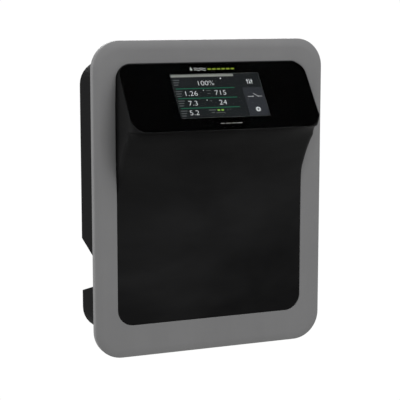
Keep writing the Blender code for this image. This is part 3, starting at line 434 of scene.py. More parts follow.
def ring_loft(name, rings, closed=False):
    """Joins rings of equal length; a closed loft joins the last to the first, an open one gets two caps."""

    def build(bm):
        made = [[bm.verts.new(p) for p in ring] for ring in rings]
        pairs = list(zip(made, made[1:]))
        if closed:
            pairs.append((made[-1], made[0]))
        else:
            bm.faces.new(made[0])
            bm.faces.new(made[-1])
        for first, second in pairs:
            for i in range(len(first)):
                bm.faces.new((first[i - 1], first[i], second[i], second[i - 1]))

    return mesh_object(name, build)


def box(name, low, high):
    low, high = Vector(low), Vector(high)
    place = Matrix.Translation((low + high) / 2) @ Matrix.Diagonal((*(high - low), 1))
    return mesh_object(name, lambda bm: bmesh.ops.create_cube(bm, size=1, matrix=place))


def cylinder(name, start, end, radius, segments):
    start, end = Vector(start), Vector(end)
    along = end - start
    place = Matrix.Translation((start + end) / 2) @ along.to_track_quat("Z", "Y").to_matrix().to_4x4()
    size = {"depth": along.length, "radius1": radius, "radius2": radius, "segments": segments}
    return mesh_object(name, lambda bm: bmesh.ops.create_cone(bm, cap_ends=True, matrix=place, **size))


def plate(name, outlines, low, high, place):
    """A flat outline with any holes in it, in local X and Y, thick from low to high in local Z."""
    curve = bpy.data.curves.new(name, "CURVE")
    curve.dimensions = "2D"
    curve.fill_mode = "BOTH"
    curve.extrude = (high - low) / 2
    for outline in outlines:
        spline = curve.splines.new("POLY")
        spline.points.add(len(outline) - 1)
        for point, (u, v) in zip(spline.points, outline):
            point.co = (u, v, 0, 1)
        spline.use_cyclic_u = True
    guide = add(name, curve)
    filled = evaluated(guide)
    remove(guide)

    def build(bm):
        bm.from_mesh(filled)
        bmesh.ops.remove_doubles(bm, verts=bm.verts, dist=0.001 * MM)

    obj = mesh_object(name, build)
    obj.data.transform(place @ shifted(0, 0, (low + high) / 2))
    return obj


def facing_front(y=0.0):
    """Places local X and Y as the door's X and Z, with local Z towards the front from a depth y."""
    return shifted(0, y, 0) @ Matrix.Rotation(pi / 2, 4, "X")


def turned(name, profile, steps):
    """A shape turned about Z from (radius, height) pairs, its first and last radius 0."""

    def build(bm):
        rings = []
        for radius, height in profile:
            if radius == 0:
                rings.append([bm.verts.new((0, 0, height))] * steps)
            else:
                turn = [2 * pi * i / steps for i in range(steps)]
                rings.append([bm.verts.new((radius * cos(a), radius * sin(a), height)) for a in turn])
        for first, second in zip(rings, rings[1:]):
            for i in range(steps):
                corners = dict.fromkeys((first[i - 1], first[i], second[i], second[i - 1]))
                bm.faces.new(list(corners))

    return mesh_object(name, build)


def boolean(target, cutters, operation="DIFFERENCE"):
    for cutter in cutters:
        modifier = target.modifiers.new("cut", "BOOLEAN")
        modifier.operation = operation
        modifier.solver = "MANIFOLD"
        modifier.object = cutter
        apply(target)
        remove(cutter)
    return target


def apply(obj):
    """Replaces the mesh by what its modifiers make of it."""
    mesh = evaluated(obj)
    obj.modifiers.clear()
    obj.data = mesh
    return obj


def soften(obj, width, segments=2):
    bevel = obj.modifiers.new("edges", "BEVEL")
    bevel.width = width
    bevel.segments = segments
    bevel.limit_method = "ANGLE"
    bevel.angle_limit = radians(35)
    return apply(obj)


def smooth(obj, angle):
    """Smooth shading with sharp edges, and flat faces kept flat beside rounded ones."""
    obj.data.shade_smooth()
    obj.data.set_sharp_from_angle(angle=radians(angle))
    even = obj.modifiers.new("even_normals", "WEIGHTED_NORMAL")
    even.keep_sharp = True
    return apply(obj)


def merge(name, objects):
    """One object from several."""
    mesh, bm = bpy.data.meshes.new(name), bmesh.new()
    for obj in objects:
        bm.from_mesh(obj.data)
        remove(obj)
    bm.to_mesh(mesh)
    bm.free()
    return add(name, mesh)


def painted(obj, material):
    obj.data.materials.clear()
    obj.data.materials.append(MATERIALS[material] if isinstance(material, str) else material)
    return obj


def piece(obj, body, slot, *replaced, material=None, angle=32):
    """Finishes a piece: its shading and material, the body it rides on and the CAD nodes it stands for."""
    painted(smooth(obj, angle), material or slot)
    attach(obj, body)
    if replaced:
        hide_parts(*replaced)
    return obj


# ---------------- outlines


def rounded(low_u, high_u, low_v, high_v, radius, steps, along, top_radius=None):
    """A rounded rectangle, counter-clockwise, each straight side split into as many parts as along says.
    Its upper corners can have their own radius."""
    arcs = []
    for u, v, quarter in ((high_u, high_v, 0), (low_u, high_v, 1), (low_u, low_v, 2), (high_u, low_v, 3)):
        r = top_radius if v == high_v and top_radius else radius
        centre_u = u - r if u == high_u else u + r
        centre_v = v - r if v == high_v else v + r
        turn = [pi / 2 * (quarter + i / steps) for i in range(steps + 1)]
        arcs.append([(centre_u + r * cos(a), centre_v + r * sin(a)) for a in turn])
    points = []
    for arc, following in zip(arcs, arcs[1:] + arcs[:1]):
        (u0, v0), (u1, v1) = arc[-1], following[0]
        points += arc
        points += [(u0 + (u1 - u0) * t, v0 + (v1 - v0) * t) for t in (k / along for k in range(1, along))]
    return points


def centred(width, height, radius, steps, along=1, centre=(0, 0)):
    u, v = centre
    half_w, half_h = width / 2, height / 2
    return rounded(u - half_w, u + half_w, v - half_h, v + half_h, radius, steps, along)


def cover_outline(inset, along):
    width, height, radius = COVER
    return centred(width - 2 * inset, height - 2 * inset, radius - inset, 14, along)


def panel_outline(grow, along, top=PANEL_TOP):
    half, top_radius = PANEL_HALF + grow, max(PANEL_TOP_RADIUS + grow, 1 * MM)
    return rounded(-half, half, PANEL_BOTTOM - grow, top + grow, PANEL_RADIUS + grow, 14, along, top_radius)


def lens_outline(inset=0.0):
    half_w, half_h = LENS[0] / 2 - inset, LENS[1] / 2 - inset
    return rounded(-half_w, half_w, -half_h, half_h, LENS[2] - inset, 20, 1, LENS_TOP_RADIUS - inset)


def arc_inset(radius, along):
    along = min(max(along, 0), radius)
    return radius - sqrt(max(radius**2 - along**2, 0))


# ---------------- door: grey surround


def scoop_depth(x, z):
    """The shallow dish beside the pod, deepest at the panel's edge, its two ends running off diagonally."""
    inner, outer = PANEL_HALF - 4 * MM, COVER[0] / 2 - 5 * MM
    u = max(abs(x) - inner, 0) / (outer - inner)
    side = SCOOP_DEPTH * (1 - u)
    upper = SCOOP_DEPTH * (SCOOP_TOP - z - SCOOP_TOP_FALL * u) / SCOOP_TOP_FALL
    lower = SCOOP_DEPTH * (z - SCOOP_LOW - SCOOP_LOW_RISE * u) / SCOOP_LOW_RISE
    blend = 0.35 * MM
    least = -blend * soft_log(-side / blend, -upper / blend, -lower / blend)
    return blend * soft_log(0.0, least / blend) if least > -6 * blend else 0.0


def soft_log(*values):
    """A smooth maximum."""
    top = max(values)
    return top + log(sum(exp(v - top) for v in values))


def surround():
    """The cover as one closed loft: window edge, dished face, roll-off, side, back rim and inside."""
    along = 44
    window_grow, lip = GAP + 0.2 * MM, 0.5 * MM
    window = panel_outline(window_grow, along)
    lips = [(panel_outline(window_grow + lip * (1 - cos(a)), along), lip * (1 - sin(a)))
            for a in (pi / 2 * i / 4 for i in range(5))]
    lip_end = lips[-1][0]
    crown_width, crown_depth = COVER_CROWN
    face_end = cover_outline(crown_width, along)
    rings = [[(x, COVER_FRONT + WALL, z) for x, z in window]]
    for outline, back in lips:
        rings.append([(x, COVER_FRONT + back + scoop_depth(x, z), z) for x, z in outline])
    steps = 16
    for k in range(1, steps + 1):
        t = k / steps
        ring = []
        for (x0, z0), (x1, z1) in zip(lip_end, face_end):
            x, z = x0 + (x1 - x0) * t, z0 + (z1 - z0) * t
            ring.append((x, COVER_FRONT + scoop_depth(x, z), z))
        rings.append(ring)
    steps, slope = 12, 2 * crown_depth / (crown_width - COVER_ROUND)
    for k in range(1, steps + 1):
        t = k / steps
        outline = cover_outline(crown_width + (COVER_ROUND - crown_width) * t, along)
        back = COVER_FRONT + crown_depth * t * t
        rings.append([(x, back + scoop_depth(x, z) * (1 - t), z) for x, z in outline])
    steps, start = 7, atan(slope)
    deep = COVER_FRONT + crown_depth
    for k in range(1, steps + 1):
        a = start + (pi / 2 - start) * k / steps
        inset = COVER_ROUND * (1 - (sin(a) - sin(start)) / (1 - sin(start)))
        back = deep + COVER_ROUND * (cos(start) - cos(a))
        rings.append([(x, back, z) for x, z in cover_outline(inset, along)])
    edge = 0.5 * MM
    for inset, y in ((0, COVER_BACK - edge), (0.15 * MM, COVER_BACK - 0.15 * MM), (edge, COVER_BACK),
                     (WALL - edge, COVER_BACK), (WALL, COVER_BACK - edge)):
        rings.append([(x, y, z) for x, z in cover_outline(inset, along)])
    for k in range(6):
        a = pi / 2 * k / 5
        inset = WALL + INNER_ROUND * (1 - cos(a))
        y = COVER_FRONT + WALL + INNER_ROUND * (1 - sin(a))
        rings.append([(x, y, z) for x, z in cover_outline(inset, along)])
    obj = ring_loft("grey_surround", rings, closed=True)
    holes = []
    for x, z in screw_places():
        holes.append(cylinder("pilot", (x, COVER_FRONT + 1 * MM, z), (x, COVER_BACK, z), PILOT_RADIUS, 20))
    low = -COVER[1] / 2
    for x in LOCK_X:
        start, end = Vector((x, LOCK_Y, low - MM)), Vector((x, LOCK_Y, low + 8 * MM))
        holes.append(cylinder("hole", start, end, LOCK_RADIUS + GAP, 32))
    piece(boolean(obj, holes), "door", "grey_cover", "front_surround", angle=50)


def screw_places():
    half = PANEL_HALF + SCREW_OUT
    return [(side * half, z) for z in SCREW_HEIGHTS for side in (-1, 1)]


# ---------------- door: black panel with its pod


def bezier(points, steps):
    p0, p1, p2, p3 = (Vector(p) for p in points)
    for i in range(steps + 1):
        t = i / steps
        yield p0 * (1 - t) ** 3 + p1 * 3 * t * (1 - t) ** 2 + p2 * 3 * t**2 * (1 - t) + p3 * t**3


def pod_sections(wall):
    """(height, depth, half width, shoulder width, shoulder depth) rows down the panel, set in by a wall."""
    depth_back = (LENS_THICKNESS + GAP + wall) / cos(POD_TILT)
    lens_depth = COVER_FRONT - LENS_TOP.y
    lens_radius = LENS[2]
    top, least = PANEL_TOP - wall, 0.6 * MM
    tip_z = SWEEP[0][1] * MM + wall
    round_in_z = lens_radius * cos(POD_TILT)
    curve = [(d * MM + wall * a, z * MM + wall * b) for (d, z), (a, b) in zip(SWEEP, SWEEP_SHIFT)]
    arc, rows = 16, []
    top_corner = max(PANEL_TOP_RADIUS - wall, 0.4 * MM)
    heights = [top - top_corner * (1 - cos(pi / 2 * i / arc)) for i in range(arc + 1)]
    heights += [tip_z + round_in_z * (1 - sin(pi / 2 * i / arc)) for i in range(arc + 1)]
    for z in heights:
        depth = lens_depth + (LENS_TOP.z - z) * sin(POD_TILT) / cos(POD_TILT) - depth_back
        in_corner = arc_inset(lens_radius, (tip_z + round_in_z - z) / cos(POD_TILT))
        rows.append((z, depth, max(in_corner, least), lens_radius if in_corner > least else least))
    for depth, z in bezier(curve, 44):
        near_lens = max(1 - (tip_z - z) / (12 * MM), 0)
        rounded_by = POD_SHOULDER + (lens_radius - POD_SHOULDER) * near_lens
        shoulder = max(min(rounded_by, 0.9 * depth), least)
        if z < rows[-1][0] - 0.1 * MM:
            rows.append((z, depth, shoulder, shoulder))
    if not wall:
        straight = 10
        start, end = rows[-1][0], PANEL_BOTTOM + PANEL_RADIUS
        heights = [start + (end - start) * i / straight for i in range(1, straight)]
        heights += [PANEL_BOTTOM + PANEL_RADIUS * (1 - sin(pi / 2 * i / arc)) for i in range(arc + 1)]
        rows += [(z, -PANEL_RECESS, least, least) for z in heights]
    for z, depth, shoulder, fall in rows:
        corner = PANEL_RADIUS - wall
        narrow = arc_inset(top_corner, z - (top - top_corner)) + arc_inset(corner, PANEL_BOTTOM + corner - z)
        yield z, max(depth, -PANEL_RECESS - wall), PANEL_HALF - wall - narrow, shoulder, fall


def pod_loft(name, wall, back):
    rings, steps, across = [], 12, 8
    for z, depth, half, shoulder, fall in pod_sections(wall):
        fall = min(fall, 0.6 * (back - COVER_FRONT + depth))
        right = [(half, back)]
        for i in range(steps + 1):
            angle = pi / 2 * i / steps
            right.append((half - shoulder * (1 - cos(angle)), COVER_FRONT - depth + fall * (1 - sin(angle))))
        flat, y = right[-1]
        middle = [(flat * (1 - 2 * i / across), y) for i in range(1, across)]
        ring = right + middle + [(-x, y) for x, y in reversed(right)]
        rings.append([(x, y, z) for x, y in ring])
    return ring_loft(name, rings)


def lens_place(across, down, back):
    """Local x to the right, y up the lens and z out of its front."""
    turn = Matrix.Rotation(pi / 2 - POD_TILT, 4, "X")
    up, out = turn @ Vector((0, 1, 0)), turn @ Vector((0, 0, 1))
    return Matrix.Translation(LENS_TOP - up * down - out * back + Vector((across, 0, 0))) @ turn


def on_lens(name, outlines, front, back, across, down):
    """A plate parallel to the lens, between two depths behind the lens's front."""
    return plate(name, outlines, 0, back - front, lens_place(across, down, back))


def lens_rod(name, across, down, front, back, radius, segments=28):
    place = lens_place(across, down, 0)
    return cylinder(name, place @ Vector((0, 0, -front)), place @ Vector((0, 0, -back)), radius, segments)


def board_corners():
    half_w, half_h = BOARD[0] / 2 - 5 * MM, BOARD[1] / 2 - 4 * MM
    return [(DISPLAY_SHIFT + a * half_w, BOARD_DOWN + b * half_h) for a in (-1, 1) for b in (-1, 1)]


def panel():
    """The pod's shell with its hollow, gasket seat, rim, display window, four posts and screw holes."""
    shell = pod_loft("panel_with_pod", 0, PANEL_BACK)
    hollow = pod_loft("pod_hollow", PANEL_WALL, PANEL_BACK + 10 * MM)
    front = COVER_FRONT + WALL + GAP
    back = front + FLANGE_THICKNESS
    middle = [panel_outline(-6 * MM, 1, 200 * MM)]
    opening = plate("flange_hole", middle, -back - WALL, -front + WALL, facing_front())
    flange = plate("flange", [panel_outline(7 * MM, 1, 130 * MM)], -back, -front, facing_front())
    boolean(flange, [opening])
    seat = box("gasket_seat", Vector((-200, -78, 150)) * MM, Vector((200, -60, 200)) * MM)
    boolean(shell, [hollow, seat])
    posts = [lens_rod("post", a, d, 4 * MM, BOARD_DEPTH - GAP, 3.2 * MM) for a, d in board_corners()]
    boolean(shell, [flange, *posts], "UNION")
    width, height = DISPLAY_SIZE
    window = on_lens(
        "window", [centred(width + MM, height + MM, 1.2 * MM, 4)], 0, 6.5 * MM, DISPLAY_SHIFT, DISPLAY_DOWN
    )
    holes = [lens_rod("post_hole", a, d, 6 * MM, 30 * MM, 1.5 * MM, 20) for a, d in board_corners()]
    for x, z in screw_places():
        holes.append(cylinder("hole", (x, COVER_FRONT, z), (x, COVER_BACK, z), 2 * MM, 20))
    piece(boolean(shell, [window, *holes]), "door", "black_panel", "front_panel", angle=28)


# ---------------- door: lens and screen


def lens():
    glass = on_lens("lens_glass", [lens_outline()], 0, LENS_THICKNESS, 0, LENS[1] / 2)
    soften(glass, 0.35 * MM, 3)
    piece(glass, "door", "lens_glass", "display_lens")
    edge, margin = 0.3 * MM, 0.6 * MM
    outer = lens_outline(edge)
    middle = (SCREEN_LEFT + SCREEN_WIDTH / 2, LENS[1] / 2 - SCREEN_DOWN - SCREEN_HEIGHT / 2)
    window = centred(SCREEN_WIDTH + 2 * margin, SCREEN_HEIGHT + 2 * margin, 0.5 * MM, 3, 1, middle)
    start = LENS_THICKNESS + 0.03 * MM
    printed = on_lens("black_border_print", [outer, window], start, start + 0.15 * MM, 0, LENS[1] / 2)
    piece(printed, "door", "lens_glass", material="black_print")


def screen_place(u, v, layer):
    """A place on the screen from its left and upper edges, as shares of its width and height."""
    back = LENS_THICKNESS + GAP - (0.02 + 0.03 * layer) * MM
    return lens_place(SCREEN_LEFT + u * SCREEN_WIDTH, SCREEN_DOWN + v * SCREEN_HEIGHT, back)


def bar(u0, v0, u1, v1, layer=1, radius=0.15):
    """A flat mark on the screen between two places."""
    width, height = (u1 - u0) * SCREEN_WIDTH, (v1 - v0) * SCREEN_HEIGHT
    radius = min(radius * MM, width / 2.2, height / 2.2)
    outline = centred(width, height, radius, 3)
    return plate("mark", [outline], 0, MARK_THICKNESS, screen_place((u0 + u1) / 2, (v0 + v1) / 2, layer))


def stroke(points, width, layer):
    """A line that many millimetres wide through (u, v) places, each bend mitred."""
    flat = [Vector((u * SCREEN_WIDTH, -v * SCREEN_HEIGHT)) for u, v in points]
    left, right = [], []
    for i, point in enumerate(flat):
        before = (point - flat[i - 1]).normalized() if i else (flat[1] - point).normalized()
        after = (flat[i + 1] - point).normalized() if i < len(flat) - 1 else before
        across = Vector((-(before + after).y, (before + after).x)).normalized()
        reach = width * MM / 2 / max(across.dot(Vector((-after.y, after.x))), 0.4)
        left.append(point + across * reach)
        right.append(point - across * reach)
    return plate("stroke", [left + right[::-1]], 0, MARK_THICKNESS, screen_place(0, 0, layer))


def circle(radius, steps):
    turn = [2 * pi * i / steps for i in range(steps)]
    return [(radius * cos(a), radius * sin(a)) for a in turn]


def disc(u, v, radius, layer=1):
    """A round mark, its radius in millimetres."""
    return plate("disc", [circle(radius * MM, 24)], 0, MARK_THICKNESS, screen_place(u, v, layer))


def gear(u, v, radius, hole, teeth, layer):
    """A gear wheel with a round hole, both radii in millimetres."""
    outer, root = [], 0.78
    for i, (x, y) in enumerate(circle(radius * MM, 8 * teeth)):
        reach = root if i % 8 in (3, 4, 5, 6) else 1
        outer.append((reach * x, reach * y))
    return plate("gear", [outer, circle(hole * MM, 20)], 0, MARK_THICKNESS, screen_place(u, v, layer))


def figure(text, u, v):
    """A number centred at (u, v), in thin and slightly wide figures."""
    tall, capital_share, thinner, wider = 6.7 * MM, 0.72, 0.024, 1.1
    curve = bpy.data.curves.new("number", "FONT")
    curve.body = text
    curve.align_x, curve.align_y = "CENTER", "CENTER"
    curve.size = tall / capital_share
    curve.offset = -thinner * tall
    curve.extrude = 0.01 * MM
    guide = add("number", curve)
    mesh = evaluated(guide)
    remove(guide)
    mesh.transform(screen_place(u, v, 2) @ Matrix.Diagonal((wider, 1, 1, 1)))
    return add("number", mesh)


def screen_layer(name, objects, colour):
    piece(merge(name, objects), "door", "display", material=lit(name, colour))


def screen():
    """The lit screen: rows of readings, three touch symbols on the right and a light bar on top."""
    rows = (0.33, 0.555, 0.78)
    readings = (
        ("100%", 0.368, 0.215), ("1.26", 0.175, 0.450), ("715", 0.510, 0.446), ("7.3", 0.172, 0.674),
        ("24", 0.509, 0.670), ("5.2", 0.158, 0.892),
    )
    screen_layer("screen_background", [bar(-0.004, -0.006, 1.004, 1.006, 0, 0.05)], (0.0110, 0.0126, 0.0136))
    screen_layer("screen_touch_strip", [bar(0.775, 0.335, 1.0, 1.0, 1, 0.05)], (0.025, 0.027, 0.032))
    screen_layer("screen_top_bar", [bar(0.0, 0.005, 0.71, 0.062)], (0.22, 0.23, 0.21))
    green = [bar(0.02, v - 0.009, 0.685, v + 0.009) for v in rows]
    screen_layer("screen_row_lines", green, (0.012, 0.105, 0.058))
    numbers = [figure(*reading) for reading in readings]
    numbers += [disc(0.555, 0.105, 0.9), disc(0.325, 0.375, 0.55), disc(0.335, 0.605, 0.55)]
    screen_layer("screen_numbers", numbers, (0.72, 0.74, 0.75))
    icons = [gear(0.888, 0.851, 3.3, 1.3, teeth=8, layer=2)]
    for u, knob in ((0.853, 0.17), (0.878, 0.225), (0.903, 0.185)):
        icons.append(bar(u - 0.003, 0.138, u + 0.003, 0.256, 2))
        icons.append(bar(u - 0.009, knob - 0.012, u + 0.009, knob + 0.012, 3))
    screen_layer("screen_icons", icons, (0.62, 0.64, 0.65))
    relay = [stroke([(0.81, 0.55), (0.87, 0.55)], 0.7, 2)]
    relay.append(stroke([(0.88, 0.48), (0.93, 0.55), (0.975, 0.55)], 0.7, 2))
    relay += [disc(u, 0.55, 0.8, 3) for u in (0.87, 0.93)]
    screen_layer("screen_relay_sign", relay, (0.42, 0.43, 0.43))
    dim = [
        (0.355, 0.375, 0.405, 0.395), (0.36, 0.445, 0.395, 0.462), (0.37, 0.612, 0.39, 0.63),
        (0.325, 0.825, 0.405, 0.848), (0.35, 0.885, 0.385, 0.905), (0.40, 0.895, 0.50, 0.91),
        (0.535, 0.828, 0.541, 0.858), (0.567, 0.818, 0.573, 0.848),
    ]
    for top in (0.12, 0.38, 0.60, 0.83):
        dim += [(0.012, top + 0.055 * k, 0.085 - 0.012 * k, top + 0.055 * k + 0.022) for k in range(3)]
    screen_layer("screen_dim_marks", [bar(*place) for place in dim], (0.075, 0.08, 0.082))
    dots = [bar(u - 0.014, 0.825, u + 0.014, 0.861, 2, 0.5) for u in (0.436, 0.479)]
    screen_layer("screen_level_dots", dots, (0.22, 0.42, 0.05))


def lens_marks():
    """Generic printed marks on the lens: a drop beside two waves, a row of dashes, and a thin broken line,
    made to glow as painted light.
    """
    front, back = LENS_THICKNESS + 0.005 * MM, LENS_THICKNESS + MARK_THICKNESS

    def mark(outline, across, down):
        return on_lens("mark", [outline], front, back, across, down)

    def drop(radius, tall):
        points = [(radius * cos(a), radius * sin(a)) for a in (pi * (1 + i / 16) for i in range(17))]
        return points + [(radius * 0.55, radius * 0.9), (0, tall), (-radius * 0.55, radius * 0.9)]

    def wave(length, swing, width):
        turns = [4 * pi * i / 24 for i in range(25)]
        top = [(length * (a / (4 * pi) - 0.5), swing * sin(a) + width / 2) for a in turns]
        return top + [(x, y - width) for x, y in reversed(top)]

    down = 8.6 * MM
    white = [mark(drop(1.6 * MM, 3.6 * MM), -29 * MM, down)]
    white += [mark(wave(15 * MM, 0.6 * MM, 0.75 * MM), -18 * MM, down + d * MM) for d in (-1.1, 1.1)]
    lower = LENS[1] - 8.2 * MM
    for across, width in ((-8, 5), (-1, 6), (6, 5), (13, 7)):
        white.append(mark(centred(width * MM, 0.55 * MM, 0.25 * MM, 3), across * MM, lower))
    dashes = [mark(centred(4.3 * MM, 2.0 * MM, 0.7 * MM, 5), (-6 + 5.9 * k) * MM, down) for k in range(6)]
    for name, objects, colour in (
        ("lens_print_white", white, (0.62, 0.63, 0.62)),
        ("lens_print_green", dashes, (0.30, 0.42, 0.04)),
    ):
        # The print glows by its own emission, 0.75, in place of lamp light falling on it: painted light.
        piece(merge(name, objects), "door", "lens_glass", material=lit(name, colour, 0.75))


# ---------------- inside the door and the housing


def copies(name, source, places):
    """One mesh from a source repeated at each place."""
    mesh, bm = bpy.data.meshes.new(name), bmesh.new()
    for place in places:
        copy = source.data.copy()
        copy.transform(place)
        bm.from_mesh(copy)
        bpy.data.meshes.remove(copy)
    bm.to_mesh(mesh)
    bm.free()
    remove(source)
    return add(name, mesh)


def tube(name, points, radius):
    """A round wire through a few points, its ends flat."""
    path = [Vector(p) for p in points]
    rings, sides = [], 10
    for i, point in enumerate(path):
        ahead = (path[min(i + 1, len(path) - 1)] - path[max(i - 1, 0)]).normalized()
        side = ahead.orthogonal().normalized() if i == 0 else (side - ahead * side.dot(ahead)).normalized()
        other = ahead.cross(side)
        turn = [2 * pi * k / sides for k in range(sides)]
        rings.append([point + (side * cos(a) + other * sin(a)) * radius for a in turn])
    return ring_loft(name, rings)


def slotted_head(radius, tall):
    """A cheese-head screw's head, its seat at local z = 0 and a slot across its top."""
    edge = 0.12 * radius
    profile = [(0, 0), (radius, 0), (radius, tall - edge), (radius - edge, tall), (0, tall)]
    head = turned("head", profile, steps=28)
    slot = box("slot", (-2 * radius, -0.13 * radius, 0.55 * tall), (2 * radius, 0.13 * radius, 2 * tall))
    return boolean(head, [slot])


def on_board(node, height=0.0):
    """A place at the middle of a board's component, local z out of the board, this far off its front."""
    low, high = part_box(node)
    middle = (low + high) / 2
    return facing_front(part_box("main_board")[0].y) @ shifted(middle.x, middle.z, height)


def screw_row(node, ways, back, up, turn):
    """Places along a terminal block, one for each way, that far behind its front and above its lower edge."""
    low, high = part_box(node)
    for i in range(ways):
        x = low.x + (high.x - low.x) * (i + 0.5) / ways
        place = facing_front(low.y + back) @ shifted(x, low.z + up, 0)
        yield place @ Matrix.Rotation(radians(turn[0] + turn[1] * i), 4, "Z")


def terminal_screws():
    """A slotted screw for each way of the terminal blocks, each turned differently."""
    places = []
    for node, ways in (("mains_terminals", 4), ("cell_terminals", 3), ("probe_terminals", 5)):
        low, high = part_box(node)
        places += screw_row(node, ways, 4 * MM, (high.z - low.z) / 2, (20, 37))
    piece(copies("terminal_screws", slotted_head(2.1 * MM, 2 * MM), places), "housing", "zinc_steel")
    places = screw_row("power_supply_terminals", 9, 3 * MM, 8 * MM, (0, 53))
    piece(copies("supply_screws", slotted_head(2.9 * MM, 1.8 * MM), places), "housing", "zinc_steel")


def chip_pins():
    """The controller's legs on its four sides."""
    low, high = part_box("controller_chip")
    wide, count, half = high.x - low.x, 16, 0.2 * MM
    leg = [(-0.3, 1.1), (0.5, 1.1), (0.9, 0.2), (1.6, 0.2), (1.6, 0.02), (0.8, 0.02), (0.4, 0.9), (-0.3, 0.9)]
    source = plate("leg", [[(x * MM, y * MM) for x, y in leg]], -half, half, Matrix.Rotation(pi / 2, 4, "X"))
    places = []
    for side in range(4):
        turn = Matrix.Rotation(pi / 2 * side, 4, "Z")
        for k in range(count):
            along = wide * 0.86 * ((k + 0.5) / count - 0.5)
            places.append(on_board("controller_chip") @ turn @ shifted(wide / 2, along, 0))
    piece(copies("controller_pins", source, places), "housing", "zinc_steel")


def board_places(spots):
    """Places on the main board, from (x, z) in millimetres off its lower left corner."""
    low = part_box("main_board")[0]
    return [facing_front(low.y) @ shifted(low.x + x * MM, low.z + z * MM, 0) for x, z in spots]


def block(name, half_x, half_y, low, high, edge=0.0, x=0.0):
    """A small box with its middle at x, its sizes in millimetres, and softened edges if edge says so."""
    made = box(name, Vector((x - half_x, -half_y, low)) * MM, Vector((x + half_x, half_y, high)) * MM)
    return soften(made, edge * MM) if edge else made


def small_parts():
    """Resistors and surface parts between the board's larger components."""
    end = [(0, 3.3), (1.1, 3.25), (1.35, 2.9), (1.35, 2.3), (1.05, 1.9)]
    body = turned("resistor", [(r, -h) for r, h in end] + end[::-1], steps=20)
    lying = Matrix.Rotation(pi / 2, 4, "Y") @ Matrix.Scale(MM, 4)
    body.data.transform(shifted(0, 0, 1.6 * MM) @ lying)
    bends = ((-5, -1.2), (-5, 1), (-4.6, 1.6), (4.6, 1.6), (5, 1), (5, -1.2))
    lead = tube("lead", [(x * MM, 0, z * MM) for x, z in bends], 0.3 * MM)
    spots = [(x, 27 + 4.6 * k) for x in (72, 86) for k in range(4)] + [(112, 40 + 4.6 * k) for k in range(6)]
    places = board_places(spots)
    piece(copies("resistor_leads", lead, places), "housing", "zinc_steel")
    piece(copies("resistor_bodies", body, places), "housing", "capacitor_sleeve", material="resistor_lacquer")
    spots = [(6 + 3.4 * k, 30 + 3 * j) for k in range(4) for j in range(4)]
    spots += [(70 + 3.4 * k, 48 + 3 * j) for k in range(5) for j in range(3)]
    upright = Matrix.Rotation(pi / 2, 4, "Z")
    places = [place if k % 3 else place @ upright for k, place in enumerate(board_places(spots))]
    chip = block("chip", 0.7, 0.6, 0, 0.7, edge=0.08)
    ends = [block("end", 0.2, 0.62, -0.02, 0.72, edge=0.08, x=x) for x in (0.9, -0.9)]
    piece(copies("surface_parts", chip, places), "housing", "black_plastic")
    piece(copies("surface_part_ends", merge("ends", ends), places), "housing", "zinc_steel")


def board_print():
    """White outlines printed on the board round its components."""
    nodes = ["relay_1", "relay_2", "relay_3", "controller_chip", "capacitor_1", "capacitor_2", "heat_sink",
             "mains_terminals", "cell_terminals", "probe_terminals", "ribbon_header"]
    line, marks = 0.3 * MM, []
    for node in nodes:
        low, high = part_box(node)
        grow = 2.4 * MM if node == "controller_chip" else 0.9 * MM
        width, height = high.x - low.x + 2 * grow, high.z - low.z + 2 * grow
        outer = centred(width, height, 0.8 * MM, 4)
        inner = centred(width - 2 * line, height - 2 * line, 0.5 * MM, 4)
        marks.append(plate("mark", [outer, inner], 0, 0.04 * MM, on_board(node, 0.01 * MM)))
    piece(merge("board_print", marks), "housing", "circuit_board", material="board_ink")


def display_board_fittings():
    """The display board's four screws with their washers, and the chips on its back."""
    back = BOARD_DEPTH + BOARD[2]
    flip = Matrix.Rotation(pi, 4, "X")
    places = []
    for across, down in board_corners():
        places.append(lens_place(across, down, back) @ flip @ Matrix.Rotation(0.7 * across / MM, 4, "Z"))
    rim = [(0, 0), (3.2 * MM, 0), (3.2 * MM, 0.3 * MM), (3.0 * MM, 0.45 * MM), (0, 0.45 * MM)]
    piece(copies("display_screw_washers", turned("washer", rim, steps=28), places), "door", "zinc_steel")
    lift = shifted(0, 0, 0.4 * MM)
    raised = [place @ lift for place in places]
    piece(copies("display_screws", slotted_head(2.4 * MM, 1.9 * MM), raised), "door", "zinc_steel")
    chips, legs, pitch = [], [], 1.27
    for across, down, width, height in ((-30, 40, 14, 14), (-6, 32, 10, 6), (-6, 52, 7, 5), (20, 36, 12, 5)):
        place = lens_place(across * MM, down * MM, back) @ flip
        chip = block("chip", width / 2, height / 2, 0.1, 1.4, edge=0.2)
        chip.data.transform(place)
        chips.append(chip)
        count = int(width / pitch)
        for k in range(count):
            leg = block("leg", 0.2, height / 2 + 1.1, 0.02, 0.3, x=(k + 0.5 - count / 2) * pitch)
            leg.data.transform(place)
            legs.append(leg)
    piece(merge("display_chips", chips), "door", "black_plastic")
    piece(merge("display_chip_legs", legs), "door", "zinc_steel")


